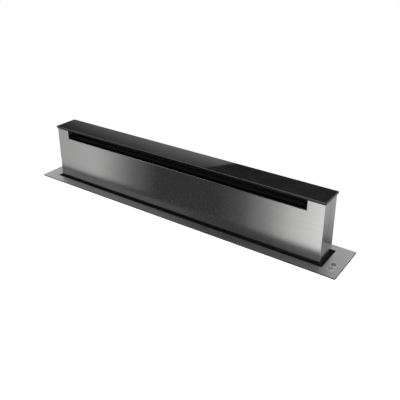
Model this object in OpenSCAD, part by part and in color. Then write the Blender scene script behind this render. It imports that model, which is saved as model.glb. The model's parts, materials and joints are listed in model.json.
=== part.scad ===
// Retractable downdraft vent for a kitchen worktop, drawn in the raised position.
// Origin: centre of the trim's footprint, on the worktop's surface.
// +X runs along the vent, -Y faces the cook, +Z points up.

/* [Riser] */
// Length of the rising column
riser_len = 816; // [700:2:1000]
// Depth of the rising column, front to back
riser_depth = 64; // [60:1:80]
// Height of the glass above the worktop when raised
raised_h = 156; // [130:1:190]
// Length of the column that stays below the worktop when raised
buried_h = 120; // [90:1:140]
// Sheet thickness of the column
riser_sheet = 1.2; // [0.8:0.1:1.5]
// Length of the intake slot
slot_len = 735; // [600:5:740]
// Height of the intake slot
slot_h = 24; // [20:1:32]
// Depth of the ledge folded in under the slot
ledge_depth = 12; // [8:1:16]

/* [Glass cap] */
// Thickness of the glass lid
glass_t = 5; // [4:0.5:8]
// Thickness of the tray that carries the glass
tray_t = 2.2; // [1.5:0.1:4]
// How far the glass stands out past the column on every side
cap_overhang = 2.5; // [1:0.5:4]
// How far the tray sits back from the edge of the glass
tray_inset = 3; // [2:0.5:5]

/* [Worktop trim] */
// Sheet thickness of the trim
trim_sheet = 1.5; // [1:0.1:3]
// Radius of the trim's corners
trim_corner = 2; // [0.5:0.5:8]
// Gap between the glass and the opening in the trim
well_gap = 6; // [4:0.5:8]
// How far the opening sits behind the middle of the trim
well_back = 1.5; // [0:0.5:4]
// Overlap of the trim past the housing at each end
end_lap = 12; // [10:1:30]
// Overlap of the trim past the housing at front and back
side_lap = 11.5; // [10:0.5:30]
// Thickness of the foam gasket under the trim
gasket_h = 1; // [0.6:0.1:2]

/* [Housing] */
// Room between the column and the housing's outer face at each end
end_room = 37; // [36:1:50]
// Room between the column and the housing's outer face at front and back
side_room = 19; // [19:1:30]
// Height of the housing below the worktop
case_h = 560; // [555:5:700]
// Sheet thickness of the housing
case_sheet = 1.2; // [1:0.1:1.5]
// Width of the flanges that join the housing sheets
case_flange = 15; // [12:1:20]

/* [Filters] */
// Thickness of a filter cassette
filter_t = 8; // [6:0.5:9]
// Width of a filter cassette along its slope
filter_w = 50; // [40:1:50]
// Slope of the filters in degrees
filter_tilt = 31; // [25:1:33]
// Width of the rim round the mesh
filter_rim = 6; // [4:0.5:8]

/* [Lift] */
// Width of the toothed belts
belt_w = 9; // [6:0.5:9]
// Thickness of the toothed belts
belt_t = 2; // [1.5:0.1:2.5]
// Pitch radius of the belt pulleys
pulley_r = 14; // [13:0.5:15]
// Radius of the cross shaft
shaft_r = 5; // [4:0.5:6]
// Depth of the upper pulleys below the worktop
idler_drop = 60; // [58:1:65]

/* [Blower] */
// Distance of the blower's axis to the right of the middle
blower_x = 60; // [0:5:80]
// Depth of the blower's axis below the worktop
blower_drop = 410; // [408:1:415]
// Radius of the blower wheel
wheel_r = 90; // [80:1:92]
// Gap between the blower wheel and each side of the scroll
wheel_gap = 23; // [22:1:30]
// Number of blades on the blower wheel
blade_count = 32; // [24:4:40]
// Inner width of the scroll, front to back
scroll_w = 156; // [155:1:165]
// Radius at which the scroll starts
scroll_start_r = 100; // [98:1:105]
// Radius at which the scroll ends
scroll_end_r = 175; // [174:1:180]
// Distance from the blower's axis to the outlet
outlet_reach = 200; // [190:5:210]
// Outer radius of the outlet collar, for a 150 mm duct
collar_r = 74.5; // [60:0.5:75]
// Length of the outlet collar
collar_len = 80; // [76:1:110]

/* [Controls] */
// Radius of a push button's cap
button_r = 5.8; // [4:0.1:6]
// Travel of a push button
button_travel = 1.5; // [1:0.1:2]
// Distance between the two push buttons
button_pitch = 16.7; // [16.7:0.1:20]
// Distance of the rear push button in front of the trim's middle
rear_button_front = 16.9; // [10:0.1:20]
// Distance of the push buttons from the housing's end
button_inset = 10.3; // [10:0.1:12]
// Width of the control box
box_w = 160; // [140:5:180]
// Depth of the control box
box_d = 45; // [40:1:60]
// Height of the control box
box_h = 110; // [90:5:130]

/* [Hidden] */
$fn = 48;

// Clearances
cut = 1;
fit_gap = 0.05;
touch_gap = 0.3;
slide_gap = 0.5;

// Levels, measured up from the worktop
case_top = gasket_h;
lip_low = case_top - case_sheet;
trim_top = gasket_h + trim_sheet;
glass_low = raised_h - glass_t;
lift_travel = raised_h - trim_top;
shell_top = glass_low - tray_t;
shell_low = -buried_h;
slot_low = shell_top - slot_h;
case_low = -case_h;

// Plan sizes
riser_end = riser_len / 2;
riser_face = riser_depth / 2;
cap_len = riser_len + 2 * cap_overhang;
cap_depth = riser_depth + 2 * cap_overhang;
well_len = cap_len + 2 * well_gap;
well_depth = cap_depth + 2 * well_gap;
case_len = riser_len + 2 * end_room;
case_depth = riser_depth + 2 * side_room;
case_end = case_len / 2;
case_face = case_depth / 2;
inner_end = case_end - case_sheet;
inner_face = case_face - case_sheet;
trim_len = case_len + 2 * end_lap;
trim_depth = case_depth + 2 * side_lap;
gasket_edge = 1.5;

// Well liner and felt seal
liner_wall = 1.5;
liner_h = 9;
liner_shelf_t = 2;
liner_gap = 1.5;
seal_h = 6;
liner_low = case_top - liner_h;
lip_edge = well_depth / 2 + liner_wall + touch_gap / 2;

// Studs, nuts and screws
stud_r = 2;
stud_len = 9;
stud_from_face = 5;
stud_pitch_x = 200;
stud_pairs = 2;
nut_r = 4.04;
nut_h = 3.2;
screw_r = 2;
screw_len = 6;
screw_head_r = 3.5;
screw_head_h = 2;
screw_slot = 0.8;
case_screw_drops = [60, 290, 520];

// Mounting brackets
bracket_t = 2;
bracket_w = 70;
bracket_up = 75;
bracket_drop = 15;
bracket_foot = 35;
bracket_hole_r = 3;
bracket_hole_pitch = 50;
bracket_hole_out = 21;
bolt_r = 2.5;
bolt_head_r = 4.6;
bolt_head_h = 3.5;
bolt_len = 8;
bolt_pitch = 40;
bolt_up = 55;

// Guide rails and slide shoes
rail_base_t = 2;
rail_base_w = 28;
rail_stem_w = 5;
rail_top_drop = 30;
rail_run_out = 33.5;
shoe_w = 18;
shoe_h = 14;
shoe_floor = 1.2;

// Lift bracket, between the column's end and the housing's end
bracket_sheet = 2;
foot_t = 3;
foot_in = 24;
foot_front = 22;
foot_rear = 9;
carrier_w = 44;
carrier_h = 40;
belt_out = 8;
carrier_gap = 4.5;
carrier_out = belt_out + belt_w + carrier_gap;
pulley_flange_t = 1.4;
pulley_flange_rise = 3;
clamp_h = 16;
clamp_wall = 4.7;
clamp_back = 2.4;
idler_pin_r = 3;
idler_plate_h = 44;
idler_plate_gap = 2.5;

// Cross shaft, bearings and gearmotor
bearing_h = 40;
bearing_w = 40;
bearing_t = 14;
bearing_gap = 5;
shaft_end_gap = 3;
gearbox_x = 260;
gearbox_w = 60;
gearbox_h = 50;
gearbox_front = 22;
gearbox_above = 25;
lift_motor_r = 22;
lift_motor_len = 95;
lift_motor_y = 22;
lift_motor_cap_r = 14;
lift_motor_cap_h = 6;
limit_x = 380;
limit_size = [20, 7.8, 12];
limit_gap = 4;
limit_over = 0.5;
lever_inset = 4;
lever_t = 1;
lever_back = 3;

// Column's inner parts
seam_gap = 0.2;
frame_sheet = 2;
frame_flange = 10;
cheek_out = 10;
cheek_t = 1.2;
cheek_low_drop = 29;
baffle_back = 8.8;
filter_gap = 1;
filter_back = 10;
mesh_t = 3;
shelf_depth = 10;

// Blower details
scroll_sheet = 1.2;
scroll_angle = 280;
scroll_step = 10;
tongue_angle = 10;
backplate_grow = 12;
backplate_t = 1.2;
mouth_r = 80;
mouth_wall = 1.5;
mouth_len = 20;
hub_r = 14;
hub_len = 30;
hub_disc_t = 2;
shroud_t = 2;
shroud_w = 9;
blade_chord = 12;
blade_t = 1;
blade_tilt = 28;
motor_shaft_r = 6;
blower_motor_r = 48;
blower_motor_len = 42;
blower_motor_cap_r = 30;
blower_motor_cap_h = 5;
scroll_screws = 8;
scroll_screw_angle = 20;

// Outlet collar and damper
collar_wall = 1;
collar_plate_t = 1.5;
damper_pin_r = 2;
damper_pin_in = 8;
flap_t = 1.2;
flap_gap = 1;
flap_split = 0.3;
knuckle_r = 3.2;
knuckle_h = 15;
knuckle_pitch = 16;
knuckle_low = 14;

// Buttons
bezel_wall = 2;
bezel_h = 1.2;
bezel_neck_wall = 1;
button_room = 1.4;
button_rise = 2.4;
button_cap_h = 6;
button_stem_r = 2;
button_stem_len = 6.5;
button_dish_r = 12;
button_dish = 0.6;
switch_w = 14;
switch_h = 16;
stem_room = 2;

// Control box
box_x = -320;
box_drop = 90;
box_wall = 1.5;
lid_t = 1.5;
lid_lip = 8;
gland_r = 11.1;
gland_wall = 4;
gland_h = 8;
board_t = 1.6;
board_margin = 12;
post_h = 8;
post_r = 3;
chip_h = 14;
lead_hole_r = 8;

// Leads, held by clips along their whole way
lead_r = 1.5;
lead_bend = 12;
lead_steps = 4;
lead_sides = 8;
clip_w = 8;
clip_wall = 1.5;
clip_xs = [-220, 0, 220, 380];

// Buttons' places
button_x = case_end - button_inset;
button_ys = [-rear_button_front, -rear_button_front - button_pitch];
bezel_r = button_r + touch_gap / 2 + bezel_wall;
neck_r = button_r + touch_gap / 2 + bezel_neck_wall;
button_top = trim_top + button_rise;
neck_low = button_top - button_cap_h - button_travel - button_room;
stem_low = button_top - button_cap_h - button_stem_len;
switch_bore_h = neck_low - stem_low + button_travel + stem_room;

// Filter line: it rests on the ledge's inner edge and on the liner's shelf
ledge_inner = -riser_face + riser_sheet + ledge_depth;
filter_len = (slot_len - 3 * filter_gap) / 2;
filter_face_z = slot_low + touch_gap + filter_t / 2 / cos(filter_tilt)
    + (ledge_inner + riser_face) * tan(filter_tilt);
filter_low = [
    -riser_face + (filter_back + filter_w) * cos(filter_tilt),
    filter_face_z - (filter_back + filter_w) * sin(filter_tilt)
];
filter_corner = filter_low - filter_t / 2 * [sin(filter_tilt), cos(filter_tilt)];
baffle_y = riser_face - riser_sheet - baffle_back;
cheek_x = slot_len / 2 + cheek_out;
cheek_low = slot_low - cheek_low_drop;

// Lift's places
idler_plate_x = riser_end + belt_out + belt_w + touch_gap + pulley_flange_t + slide_gap;
rail_low_drop = buried_h + foot_t + lift_travel + rail_run_out;
shaft_drop = rail_low_drop + bearing_gap + bearing_h / 2;
limit_drops = [buried_h + limit_gap, buried_h + lift_travel - limit_size[2] + limit_over];

// Blower's places
wheel_w = scroll_w - 2 * wheel_gap;
blower_y = -case_face;
scroll_back = blower_y - backplate_t;
scroll_front = scroll_back - scroll_w;
cover_front = scroll_front - scroll_sheet;
outlet_low = scroll_start_r * sin(tongue_angle);
outlet_x = blower_x + outlet_reach;
outlet_y = scroll_back - scroll_w / 2;
outlet_z = -blower_drop + (outlet_low + scroll_end_r) / 2;
damper_x = outlet_x + damper_pin_in;
flap_r = collar_r - collar_wall - flap_gap;

// Control box's places
box_top = -box_drop;
box_low = box_top - box_h;
box_front = -case_face - box_d;
box_mid = box_top - box_h / 2;
box_side = box_x + box_w / 2;
board_back = -case_face - box_wall - post_h;

// Routes of the leads, by hand, from the middle of the well
button_lead_path = [
    [button_x, button_ys[1] - well_back, neck_low - switch_h - lead_r],
    [button_x, -44, -23.5], [box_x, -44, -23.5], [box_x, -44, box_mid], [box_x, board_back, box_mid]
];
lift_lead_path = [
    [gearbox_x, lift_motor_y, -shaft_drop - gearbox_h + gearbox_above - lift_motor_len - 9],
    [240, 46, -475], [200, 46, -480], [box_x - 5, 46, -480], [box_x - 5, 46, -310],
    [box_x - 5, -44, -310], [box_x - 5, -44, box_mid - 1], [box_x - 5, board_back, box_mid - 1]
];
blower_lead_path = [
    [10, -232, -405], [-30, -216, -385], [-80, -214, -368], [-106, -205, -350], [-114, -120, -325],
    [-126, -56, -300], [-175, -54, -225], [-222, -56, -165], [box_side + 4, -62, -150], [box_side - 2, -68, -150]
];

function span(length) = [-length / 2, length / 2];

function unit(v) = v / norm(v);

// A route with each corner rounded
function bent(path) = [
    path[0],
    for (i = [1:len(path) - 2])
        let (corner = path[i],
             before = path[i - 1] - corner,
             after = path[i + 1] - corner,
             from = corner + unit(before) * min(lead_bend, norm(before) / 2 - lead_r / 2),
             to = corner + unit(after) * min(lead_bend, norm(after) / 2 - lead_r / 2))
        for (k = [0:lead_steps])
            let (t = k / lead_steps)
            (1 - t) * (1 - t) * from + 2 * t * (1 - t) * corner + t * t * to,
    path[len(path) - 1]
];

// Side directions carried along a route without twisting
function carried(up, ways, i) = i == len(ways) ? [] :
    let (side = unit(up - (up * ways[i]) * ways[i])) concat([side], carried(side, ways, i + 1));

function scroll_points(grow, reach) = concat(
    [for (s = [0:scroll_step:scroll_angle])
        let (r = scroll_start_r + (scroll_end_r - scroll_start_r) * s / scroll_angle + grow,
             a = tongue_angle - s)
        [r * cos(a), r * sin(a)]],
    [[reach, scroll_end_r + grow], [reach, outlet_low - grow]],
    grow < 0 ? [[scroll_start_r * cos(tongue_angle) + grow, outlet_low - grow]] : []
);

// Shapes used by several pieces

module block(x, y, z)
    translate([x[0], y[0], z[0]]) cube([x[1] - x[0], y[1] - y[0], z[1] - z[0]]);

module in_well()
    translate([0, well_back, 0]) children();

module on_left()
    mirror([1, 0, 0]) children();

module both_ends() {
    children();
    on_left() children();
}

// A flat ring: a plate of one size with an opening of another
module ring_plate(outer, inner, z)
    difference() {
        block(span(outer[0]), span(outer[1]), z);
        block(span(inner[0]), span(inner[1]), [z[0] - cut, z[1] + cut]);
    }

module rounded_plate(size, r, h)
    linear_extrude(h) {
        square([size[0] - 2 * r, size[1]], center = true);
        square([size[0], size[1] - 2 * r], center = true);
        for (x = [-1, 1], y = [-1, 1])
            translate([x * (size[0] / 2 - r), y * (size[1] / 2 - r)]) circle(r);
    }

module tube(outer_r, inner_r, h)
    difference() {
        cylinder(r = outer_r, h = h);
        translate([0, 0, -cut]) cylinder(r = inner_r, h = h + 2 * cut);
    }

// A pan-head screw pointing down, its head seated on z = 0
module pan_screw()
    difference() {
        union() {
            cylinder(r = screw_head_r, h = screw_head_h);
            translate([0, 0, -screw_len]) cylinder(r = screw_r, h = screw_len + screw_head_h / 2);
        }
        for (turn = [0, 90])
            rotate([0, 0, turn]) translate([-screw_head_r / 2, -screw_slot / 2, screw_head_h / 2])
                cube([screw_head_r, screw_slot, screw_head_h]);
    }

// A round rod between two points
module rod(from, to, r) {
    way = to - from;
    translate(from)
        rotate([0, acos(way[2] / norm(way)), atan2(way[1], way[0])])
            cylinder(r = r, h = norm(way), $fn = 16);
}

// A lead of one thickness that follows a list of points, with rounded bends
module lead(path) {
    route = bent(path);
    count = len(route);
    ways = [for (i = [0:count - 1]) unit(route[min(i + 1, count - 1)] - route[max(i - 1, 0)])];
    ups = carried([1, 1, 0], ways, 0);
    rings = [for (i = [0:count - 1], k = [0:lead_sides - 1])
        let (turn = 360 * k / lead_sides)
        route[i] + lead_r * (cos(turn) * ups[i] + sin(turn) * cross(ways[i], ups[i]))];
    walls = [for (i = [0:count - 2], k = [0:lead_sides - 1])
        let (a = i * lead_sides + k,
             b = i * lead_sides + (k + 1) % lead_sides)
        each [[a, a + lead_sides, b], [b, a + lead_sides, b + lead_sides]]];
    first_cap = [for (k = [1:lead_sides - 2]) [0, k, k + 1]];
    last = (count - 1) * lead_sides;
    last_cap = [for (k = [1:lead_sides - 2]) [last, last + k + 1, last + k]];
    polyhedron(points = rings, faces = concat(walls, first_cap, last_cap));
}

// Stands a flat outline up, facing the cook, from y back towards -Y
module standing(y, depth)
    translate([0, y, 0]) rotate([90, 0, 0]) linear_extrude(depth) children();

module at_blower()
    translate([blower_x, 0, -blower_drop]) children();

// Places in the housing's front and rear sheets for the corner screws
module at_case_screws()
    for (x = [-1, 1], z = case_screw_drops)
        translate([x * (inner_end - case_flange / 2), -case_face, -z]) rotate([90, 0, 0]) children();

module at_studs()
    for (i = [-stud_pairs:stud_pairs], side = [-1, 1])
        translate([i * stud_pitch_x, side * (case_face - stud_from_face), 0]) children();

// Places round the blower's flange for its screws
module at_scroll_screws()
    at_blower()
        for (i = [0:scroll_screws - 1])
            let (s = scroll_screw_angle + i * (scroll_angle - scroll_screw_angle) / (scroll_screws - 1),
                 r = scroll_start_r + (scroll_end_r - scroll_start_r) * s / scroll_angle + backplate_grow / 2,
                 a = tongue_angle - s)
            translate([r * cos(a), scroll_back, r * sin(a)]) rotate([90, 0, 0]) children();

module screw_holes()
    translate([0, 0, -screw_len]) cylinder(r = screw_r + fit_gap, h = 2 * screw_len);

// Worktop trim

module worktop_trim() {
    color("silver")
    difference() {
        translate([0, 0, gasket_h]) rounded_plate([trim_len, trim_depth], trim_corner, trim_sheet);
        in_well() block(span(well_len), span(well_depth), [0, trim_top + cut]);
        for (y = button_ys)
            translate([button_x, y, 0]) cylinder(r = neck_r + fit_gap, h = trim_top + cut);
    }
}

module trim_gasket() {
    color("dimgray")
    difference() {
        rounded_plate([trim_len - 2 * gasket_edge, trim_depth - 2 * gasket_edge], trim_corner, gasket_h);
        in_well() block(span(case_len + 2 * slide_gap), span(case_depth + 2 * slide_gap),
            [-cut, gasket_h + cut]);
    }
}

module trim_studs() {
    color("gray")
    in_well() at_studs() translate([0, 0, case_top - stud_len]) cylinder(r = stud_r, h = stud_len);
}

module trim_nuts() {
    color("gray")
    in_well() at_studs() translate([0, 0, lip_low - nut_h])
        difference() {
            cylinder(r = nut_r, h = nut_h, $fn = 6);
            translate([0, 0, -cut]) cylinder(r = stud_r + fit_gap, h = nut_h + 2 * cut);
        }
}

module well_liner() {
    color("black")
    in_well() {
        ring_plate([well_len + 2 * liner_wall, well_depth + 2 * liner_wall],
            [well_len, well_depth], [liner_low, case_top]);
        ring_plate([well_len + 2 * liner_wall, well_depth + 2 * liner_wall],
            [riser_len + 2 * liner_gap, riser_depth + 2 * liner_gap],
            [liner_low, liner_low + liner_shelf_t]);
    }
}

module well_seal() {
    color("black")
    in_well() ring_plate([well_len, well_depth],
        [riser_len + 2 * touch_gap, riser_depth + 2 * touch_gap], [liner_low - seal_h, liner_low]);
}

// Housing

// One long side of the housing, with its lip under the trim and its flange under the floor
module case_side() {
    block([-case_end, case_end], [-case_face, -inner_face], [case_low, case_top]);
    block([-case_end, case_end], [-case_face, -lip_edge], [lip_low, case_top]);
    block([-case_end, case_end], [-case_face, -case_face + case_flange], [case_low, case_low + case_sheet]);
}

module case_front() {
    color("lightgray")
    in_well() difference() {
        case_side();
        at_studs() translate([0, 0, lip_low - cut]) cylinder(r = stud_r + fit_gap, h = case_sheet + 2 * cut);
        at_case_screws() screw_holes();
        at_scroll_screws() screw_holes();
        at_blower() standing(-inner_face + cut, case_sheet + 2 * cut) circle(mouth_r + mouth_wall);
        translate([box_x, 0, box_mid]) standing(-inner_face + cut, case_sheet + 2 * cut)
            circle(lead_hole_r);
    }
}

module case_rear() {
    color("lightgray")
    in_well() mirror([0, 1, 0]) difference() {
        case_side();
        at_studs() translate([0, 0, lip_low - cut]) cylinder(r = stud_r + fit_gap, h = case_sheet + 2 * cut);
        at_case_screws() screw_holes();
    }
}

// The right end of the housing, with a flange behind each long side
module case_end_sheet() {
    floor_z = case_low + case_sheet;
    difference() {
        union() {
            block([inner_end, case_end], [-inner_face, inner_face], [floor_z, lip_low]);
            for (side = [0, 1])
                mirror([0, side, 0]) block([inner_end - case_flange, inner_end],
                    [-inner_face, -inner_face + case_sheet],
                    [floor_z + case_sheet + slide_gap, lip_low - nut_h - slide_gap]);
        }
        for (side = [0, 1]) mirror([0, side, 0]) {
            at_case_screws() screw_holes();
            block([inner_end - case_flange - cut, idler_plate_x + bracket_sheet + slide_gap],
                [-inner_face - cut, -inner_face + case_sheet + cut],
                span(idler_plate_h + 2 * slide_gap) - [idler_drop, idler_drop]);
        }
        at_bracket_bolts() translate([0, 0, -bolt_len]) cylinder(r = bolt_r + fit_gap, h = 2 * bolt_len);
    }
}

module case_end_right() {
    color("lightgray")
    in_well() case_end_sheet();
}

module case_end_left() {
    color("lightgray")
    in_well() on_left() case_end_sheet();
}

module case_floor() {
    floor_z = case_low + case_sheet;
    color("lightgray")
    in_well() block([-inner_end, inner_end], [-inner_face, inner_face], [floor_z, floor_z + case_sheet]);
}

module case_screws() {
    color("gray")
    in_well() {
        for (side = [0, 1])
            mirror([0, side, 0]) at_case_screws() pan_screw();
        at_scroll_screws() pan_screw();
    }
}

// Places of the bracket bolts on the right end, pointing outwards
module at_bracket_bolts()
    for (y = [-1, 1])
        translate([case_end, y * bolt_pitch / 2, case_low + bolt_up]) rotate([0, 90, 0]) children();

module mounting_brackets() {
    color("gray")
    in_well() both_ends() difference() {
        union() {
            block([case_end, case_end + bracket_t], span(bracket_w),
                [case_low - bracket_drop, case_low + bracket_up]);
            block([case_end, case_end + bracket_foot], span(bracket_w),
                [case_low - bracket_drop - bracket_t, case_low - bracket_drop]);
        }
        at_bracket_bolts() cylinder(r = bolt_r + fit_gap, h = bolt_len);
        for (y = [-1, 1])
            translate([case_end + bracket_hole_out, y * bracket_hole_pitch / 2,
                case_low - bracket_drop - bracket_t - cut]) cylinder(r = bracket_hole_r, h = bracket_t + 2 * cut);
    }
}

module bracket_bolts() {
    color("silver")
    in_well() both_ends() at_bracket_bolts() {
        translate([0, 0, bracket_t]) cylinder(r = bolt_head_r, h = bolt_head_h, $fn = 6);
        translate([0, 0, bracket_t - bolt_len]) cylinder(r = bolt_r, h = bolt_len + bolt_head_h / 2);
    }
}

// Lift

module guide_rails() {
    color("silver")
    in_well() both_ends() {
        block([inner_end - rail_base_t, inner_end], span(rail_base_w), [-rail_low_drop, -rail_top_drop]);
        block([riser_end + carrier_out + bracket_sheet + shoe_floor + touch_gap, inner_end - rail_base_t / 2],
            span(rail_stem_w), [-rail_low_drop, -rail_top_drop]);
    }
}

// Outline of a belt that runs round both pulleys, grown by an amount
module belt_outline(grow) {
    r = pulley_r + grow;
    for (z = [-idler_drop, -shaft_drop]) translate([0, z]) circle(r);
    translate([-r, -shaft_drop]) square([2 * r, shaft_drop - idler_drop]);
}

// Lays an outline drawn in Y and Z on a plane across X, in the right end
module across_end(x, width)
    translate([riser_end + x, 0, 0]) rotate([90, 0, 90]) linear_extrude(width) children();

module belt()
    across_end(belt_out, belt_w) difference() {
        belt_outline(belt_t / 2);
        belt_outline(-belt_t / 2);
    }

module belt_right() {
    color("black")
    in_well() belt();
}

module belt_left() {
    color("black")
    in_well() on_left() belt();
}

// A flanged pulley in the right end, at a depth, with a bore
module pulley(drop, bore_r)
    translate([0, 0, -drop]) difference() {
        union() {
            across_end(belt_out - touch_gap, belt_w + 2 * touch_gap)
                circle(pulley_r - belt_t / 2 - touch_gap);
            for (x = [belt_out - touch_gap - pulley_flange_t, belt_out + belt_w + touch_gap])
                across_end(x, pulley_flange_t) circle(pulley_r + pulley_flange_rise);
        }
        across_end(0, end_room) circle(bore_r);
    }

module idler_pulley_right() {
    color("gray")
    in_well() pulley(idler_drop, idler_pin_r + fit_gap);
}

module idler_pulley_left() {
    color("gray")
    in_well() on_left() pulley(idler_drop, idler_pin_r + fit_gap);
}

// A plate across the housing that carries the idler's pin
module idler_bracket() {
    block([idler_plate_x, idler_plate_x + bracket_sheet], span(2 * (inner_face - case_sheet)), span(idler_plate_h)
        - [idler_drop, idler_drop]);
    for (side = [0, 1])
        mirror([0, side, 0]) block([idler_plate_x - case_flange, idler_plate_x + bracket_sheet],
            [-inner_face, -inner_face + case_sheet], span(idler_plate_h) - [idler_drop, idler_drop]);
    translate([0, 0, -idler_drop])
        across_end(belt_out - idler_plate_gap, idler_plate_x - riser_end - belt_out + idler_plate_gap + bracket_sheet / 2)
            circle(idler_pin_r);
}

module idler_bracket_right() {
    color("silver")
    in_well() idler_bracket();
}

module idler_bracket_left() {
    color("silver")
    in_well() on_left() idler_bracket();
}

module shaft_bearings() {
    color("gray")
    in_well() both_ends() translate([0, 0, -shaft_drop]) difference() {
        block([inner_end - bearing_t, inner_end], span(bearing_w), span(bearing_h));
        translate([inner_end - bearing_t - cut, 0, 0]) rotate([0, 90, 0])
            cylinder(r = shaft_r + fit_gap, h = bearing_t + cut);
    }
}

module cross_shaft() {
    color("silver")
    in_well() translate([-inner_end + shaft_end_gap, 0, -shaft_drop]) rotate([0, 90, 0])
        cylinder(r = shaft_r, h = 2 * (inner_end - shaft_end_gap));
}

module drive_pulleys() {
    color("gray")
    in_well() both_ends() pulley(shaft_drop, shaft_r + fit_gap);
}

module gearbox() {
    color("darkgray")
    in_well() translate([gearbox_x, 0, -shaft_drop]) difference() {
        union() {
            block(span(gearbox_w), [-gearbox_front, lift_motor_y + lift_motor_r],
                [gearbox_above - gearbox_h, gearbox_above]);
            block(span(gearbox_w) + [-case_flange, case_flange], [inner_face - case_sheet - bracket_sheet, inner_face],
                [gearbox_above - gearbox_h, gearbox_above]);
            block(span(gearbox_w), [lift_motor_y + lift_motor_r - cut, inner_face - cut],
                [gearbox_above - gearbox_h, gearbox_above]);
        }
        translate([-gearbox_w, 0, 0]) rotate([0, 90, 0]) cylinder(r = shaft_r + fit_gap, h = 2 * gearbox_w);
    }
}

module lift_motor() {
    top = -shaft_drop + gearbox_above - gearbox_h;
    color("dimgray")
    in_well() translate([gearbox_x, lift_motor_y, top - lift_motor_len]) {
        cylinder(r = lift_motor_r, h = lift_motor_len);
        translate([0, 0, -lift_motor_cap_h]) cylinder(r = lift_motor_cap_r, h = lift_motor_cap_h + cut);
    }
}

module limit_switches() {
    color("black")
    in_well() for (drop = limit_drops) {
        block([limit_x, limit_x + limit_size[0]], [inner_face - limit_size[1], inner_face],
            [-drop - limit_size[2], -drop]);
        block([limit_x + lever_inset, limit_x + limit_size[0] - lever_inset],
            [riser_face + slide_gap, inner_face - lever_back],
            [-drop - limit_size[2] / 2 - lever_t, -drop - limit_size[2] / 2]);
    }
}

module lift_bracket() {
    foot_z = [shell_low - foot_t, shell_low];
    belt_front = -pulley_r;
    difference() {
        block([riser_end - foot_in, riser_end + carrier_out], [-foot_front, foot_rear], foot_z);
        block([riser_end + belt_out - slide_gap, riser_end + belt_out + belt_w + slide_gap],
            span(belt_t + 2 * slide_gap) + [belt_front, belt_front],
            [foot_z[0] - cut, foot_z[1] + cut]);
    }
    block([riser_end + carrier_out, riser_end + carrier_out + bracket_sheet],
        span(carrier_w), [foot_z[0], foot_z[0] + carrier_h]);
}

module lift_bracket_right() {
    color("silver")
    in_well() lift_bracket();
}

module lift_bracket_left() {
    color("silver")
    in_well() on_left() lift_bracket();
}

module slide_shoes() {
    face = riser_end + carrier_out + bracket_sheet;
    low = shell_low - foot_t;
    color("whitesmoke")
    in_well() both_ends() for (z = [low, low + carrier_h - shoe_h])
        difference() {
            block([face, inner_end - rail_base_t - slide_gap], span(shoe_w), [z, z + shoe_h]);
            block([face + shoe_floor, inner_end], span(rail_stem_w + 2 * touch_gap), [z - cut, z + shoe_h + cut]);
        }
}

module belt_clamps() {
    gap = belt_t + 2 * touch_gap;
    color("dimgray")
    in_well() both_ends() difference() {
        block([riser_end + belt_out - slide_gap - clamp_back, riser_end + belt_out + belt_w],
            span(gap + 2 * clamp_wall) - [pulley_r, pulley_r], [shell_low, shell_low + clamp_h]);
        block([riser_end + belt_out - slide_gap, riser_end + belt_out + belt_w + cut],
            span(gap) - [pulley_r, pulley_r], [shell_low - cut, shell_low + clamp_h + cut]);
    }
}

// Column

// Half of the column's shell: a long face with a return round each end
module shell_half() {
    block(span(riser_len), [-riser_face, -riser_face + riser_sheet], [shell_low, shell_top]);
    both_ends() block([riser_end - riser_sheet, riser_end], [-riser_face, -seam_gap],
        [shell_low, shell_top]);
}

module riser_front() {
    ledge_z = [slot_low - riser_sheet, slot_low];
    color("silver")
    in_well() {
        difference() {
            shell_half();
            block(span(slot_len), [-riser_face - cut, -riser_face + riser_sheet + cut],
                [slot_low, shell_top + cut]);
        }
        block(span(slot_len), [-riser_face + riser_sheet / 2, ledge_inner], ledge_z);
    }
}

module riser_rear() {
    color("silver")
    in_well() mirror([0, 1, 0]) shell_half();
}

// A stiffening frame inside the column's right end
module end_frame() {
    outer = riser_end - riser_sheet;
    half = riser_face - riser_sheet;
    block([outer - frame_sheet, outer], span(2 * half), [shell_low, shell_top]);
    for (side = [0, 1])
        mirror([0, side, 0]) block([outer - frame_flange, outer], [-half, -half + frame_sheet],
            [shell_low, shell_top]);
}

module riser_end_frame_right() {
    color("darkgray")
    in_well() end_frame();
}

module riser_end_frame_left() {
    color("darkgray")
    in_well() on_left() end_frame();
}

module cap_tray() {
    color("black")
    in_well() block(span(cap_len - 2 * tray_inset), span(cap_depth - 2 * tray_inset), [shell_top, glass_low]);
}

module cap_glass() {
    color([0.05, 0.05, 0.06])
    in_well() block(span(cap_len), span(cap_depth), [glass_low, raised_h]);
}

module intake_liner() {
    front = -riser_face + riser_sheet;
    color("black")
    in_well() {
        both_ends() block([cheek_x, cheek_x + cheek_t], [front, baffle_y + cheek_t], [cheek_low, shell_top]);
        block([-cheek_x - cheek_t, cheek_x + cheek_t], [baffle_y, baffle_y + cheek_t], [cheek_low, shell_top]);
        block([-cheek_x - cheek_t, cheek_x + cheek_t], [baffle_y - shelf_depth, baffle_y + cheek_t],
            [filter_corner[1] - touch_gap - cheek_t, filter_corner[1] - touch_gap]);
    }
}

// A filter cassette: a rim round a thinner mesh panel, lying on its slope
module filter_cassette()
    translate([0, -riser_face, filter_face_z]) rotate([-filter_tilt, 0, 0])
        difference() {
            block(span(filter_len), [filter_back, filter_back + filter_w], span(filter_t));
            for (side = [0, 1])
                mirror([0, 0, side])
                    block(span(filter_len - 2 * filter_rim),
                        [filter_back + filter_rim, filter_back + filter_w - filter_rim],
                        [mesh_t / 2, filter_t]);
        }

module filter_right() {
    color("black")
    in_well() translate([(filter_len + filter_gap) / 2, 0, 0]) filter_cassette();
}

module filter_left() {
    color("black")
    in_well() translate([-(filter_len + filter_gap) / 2, 0, 0]) filter_cassette();
}

// Blower

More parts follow.
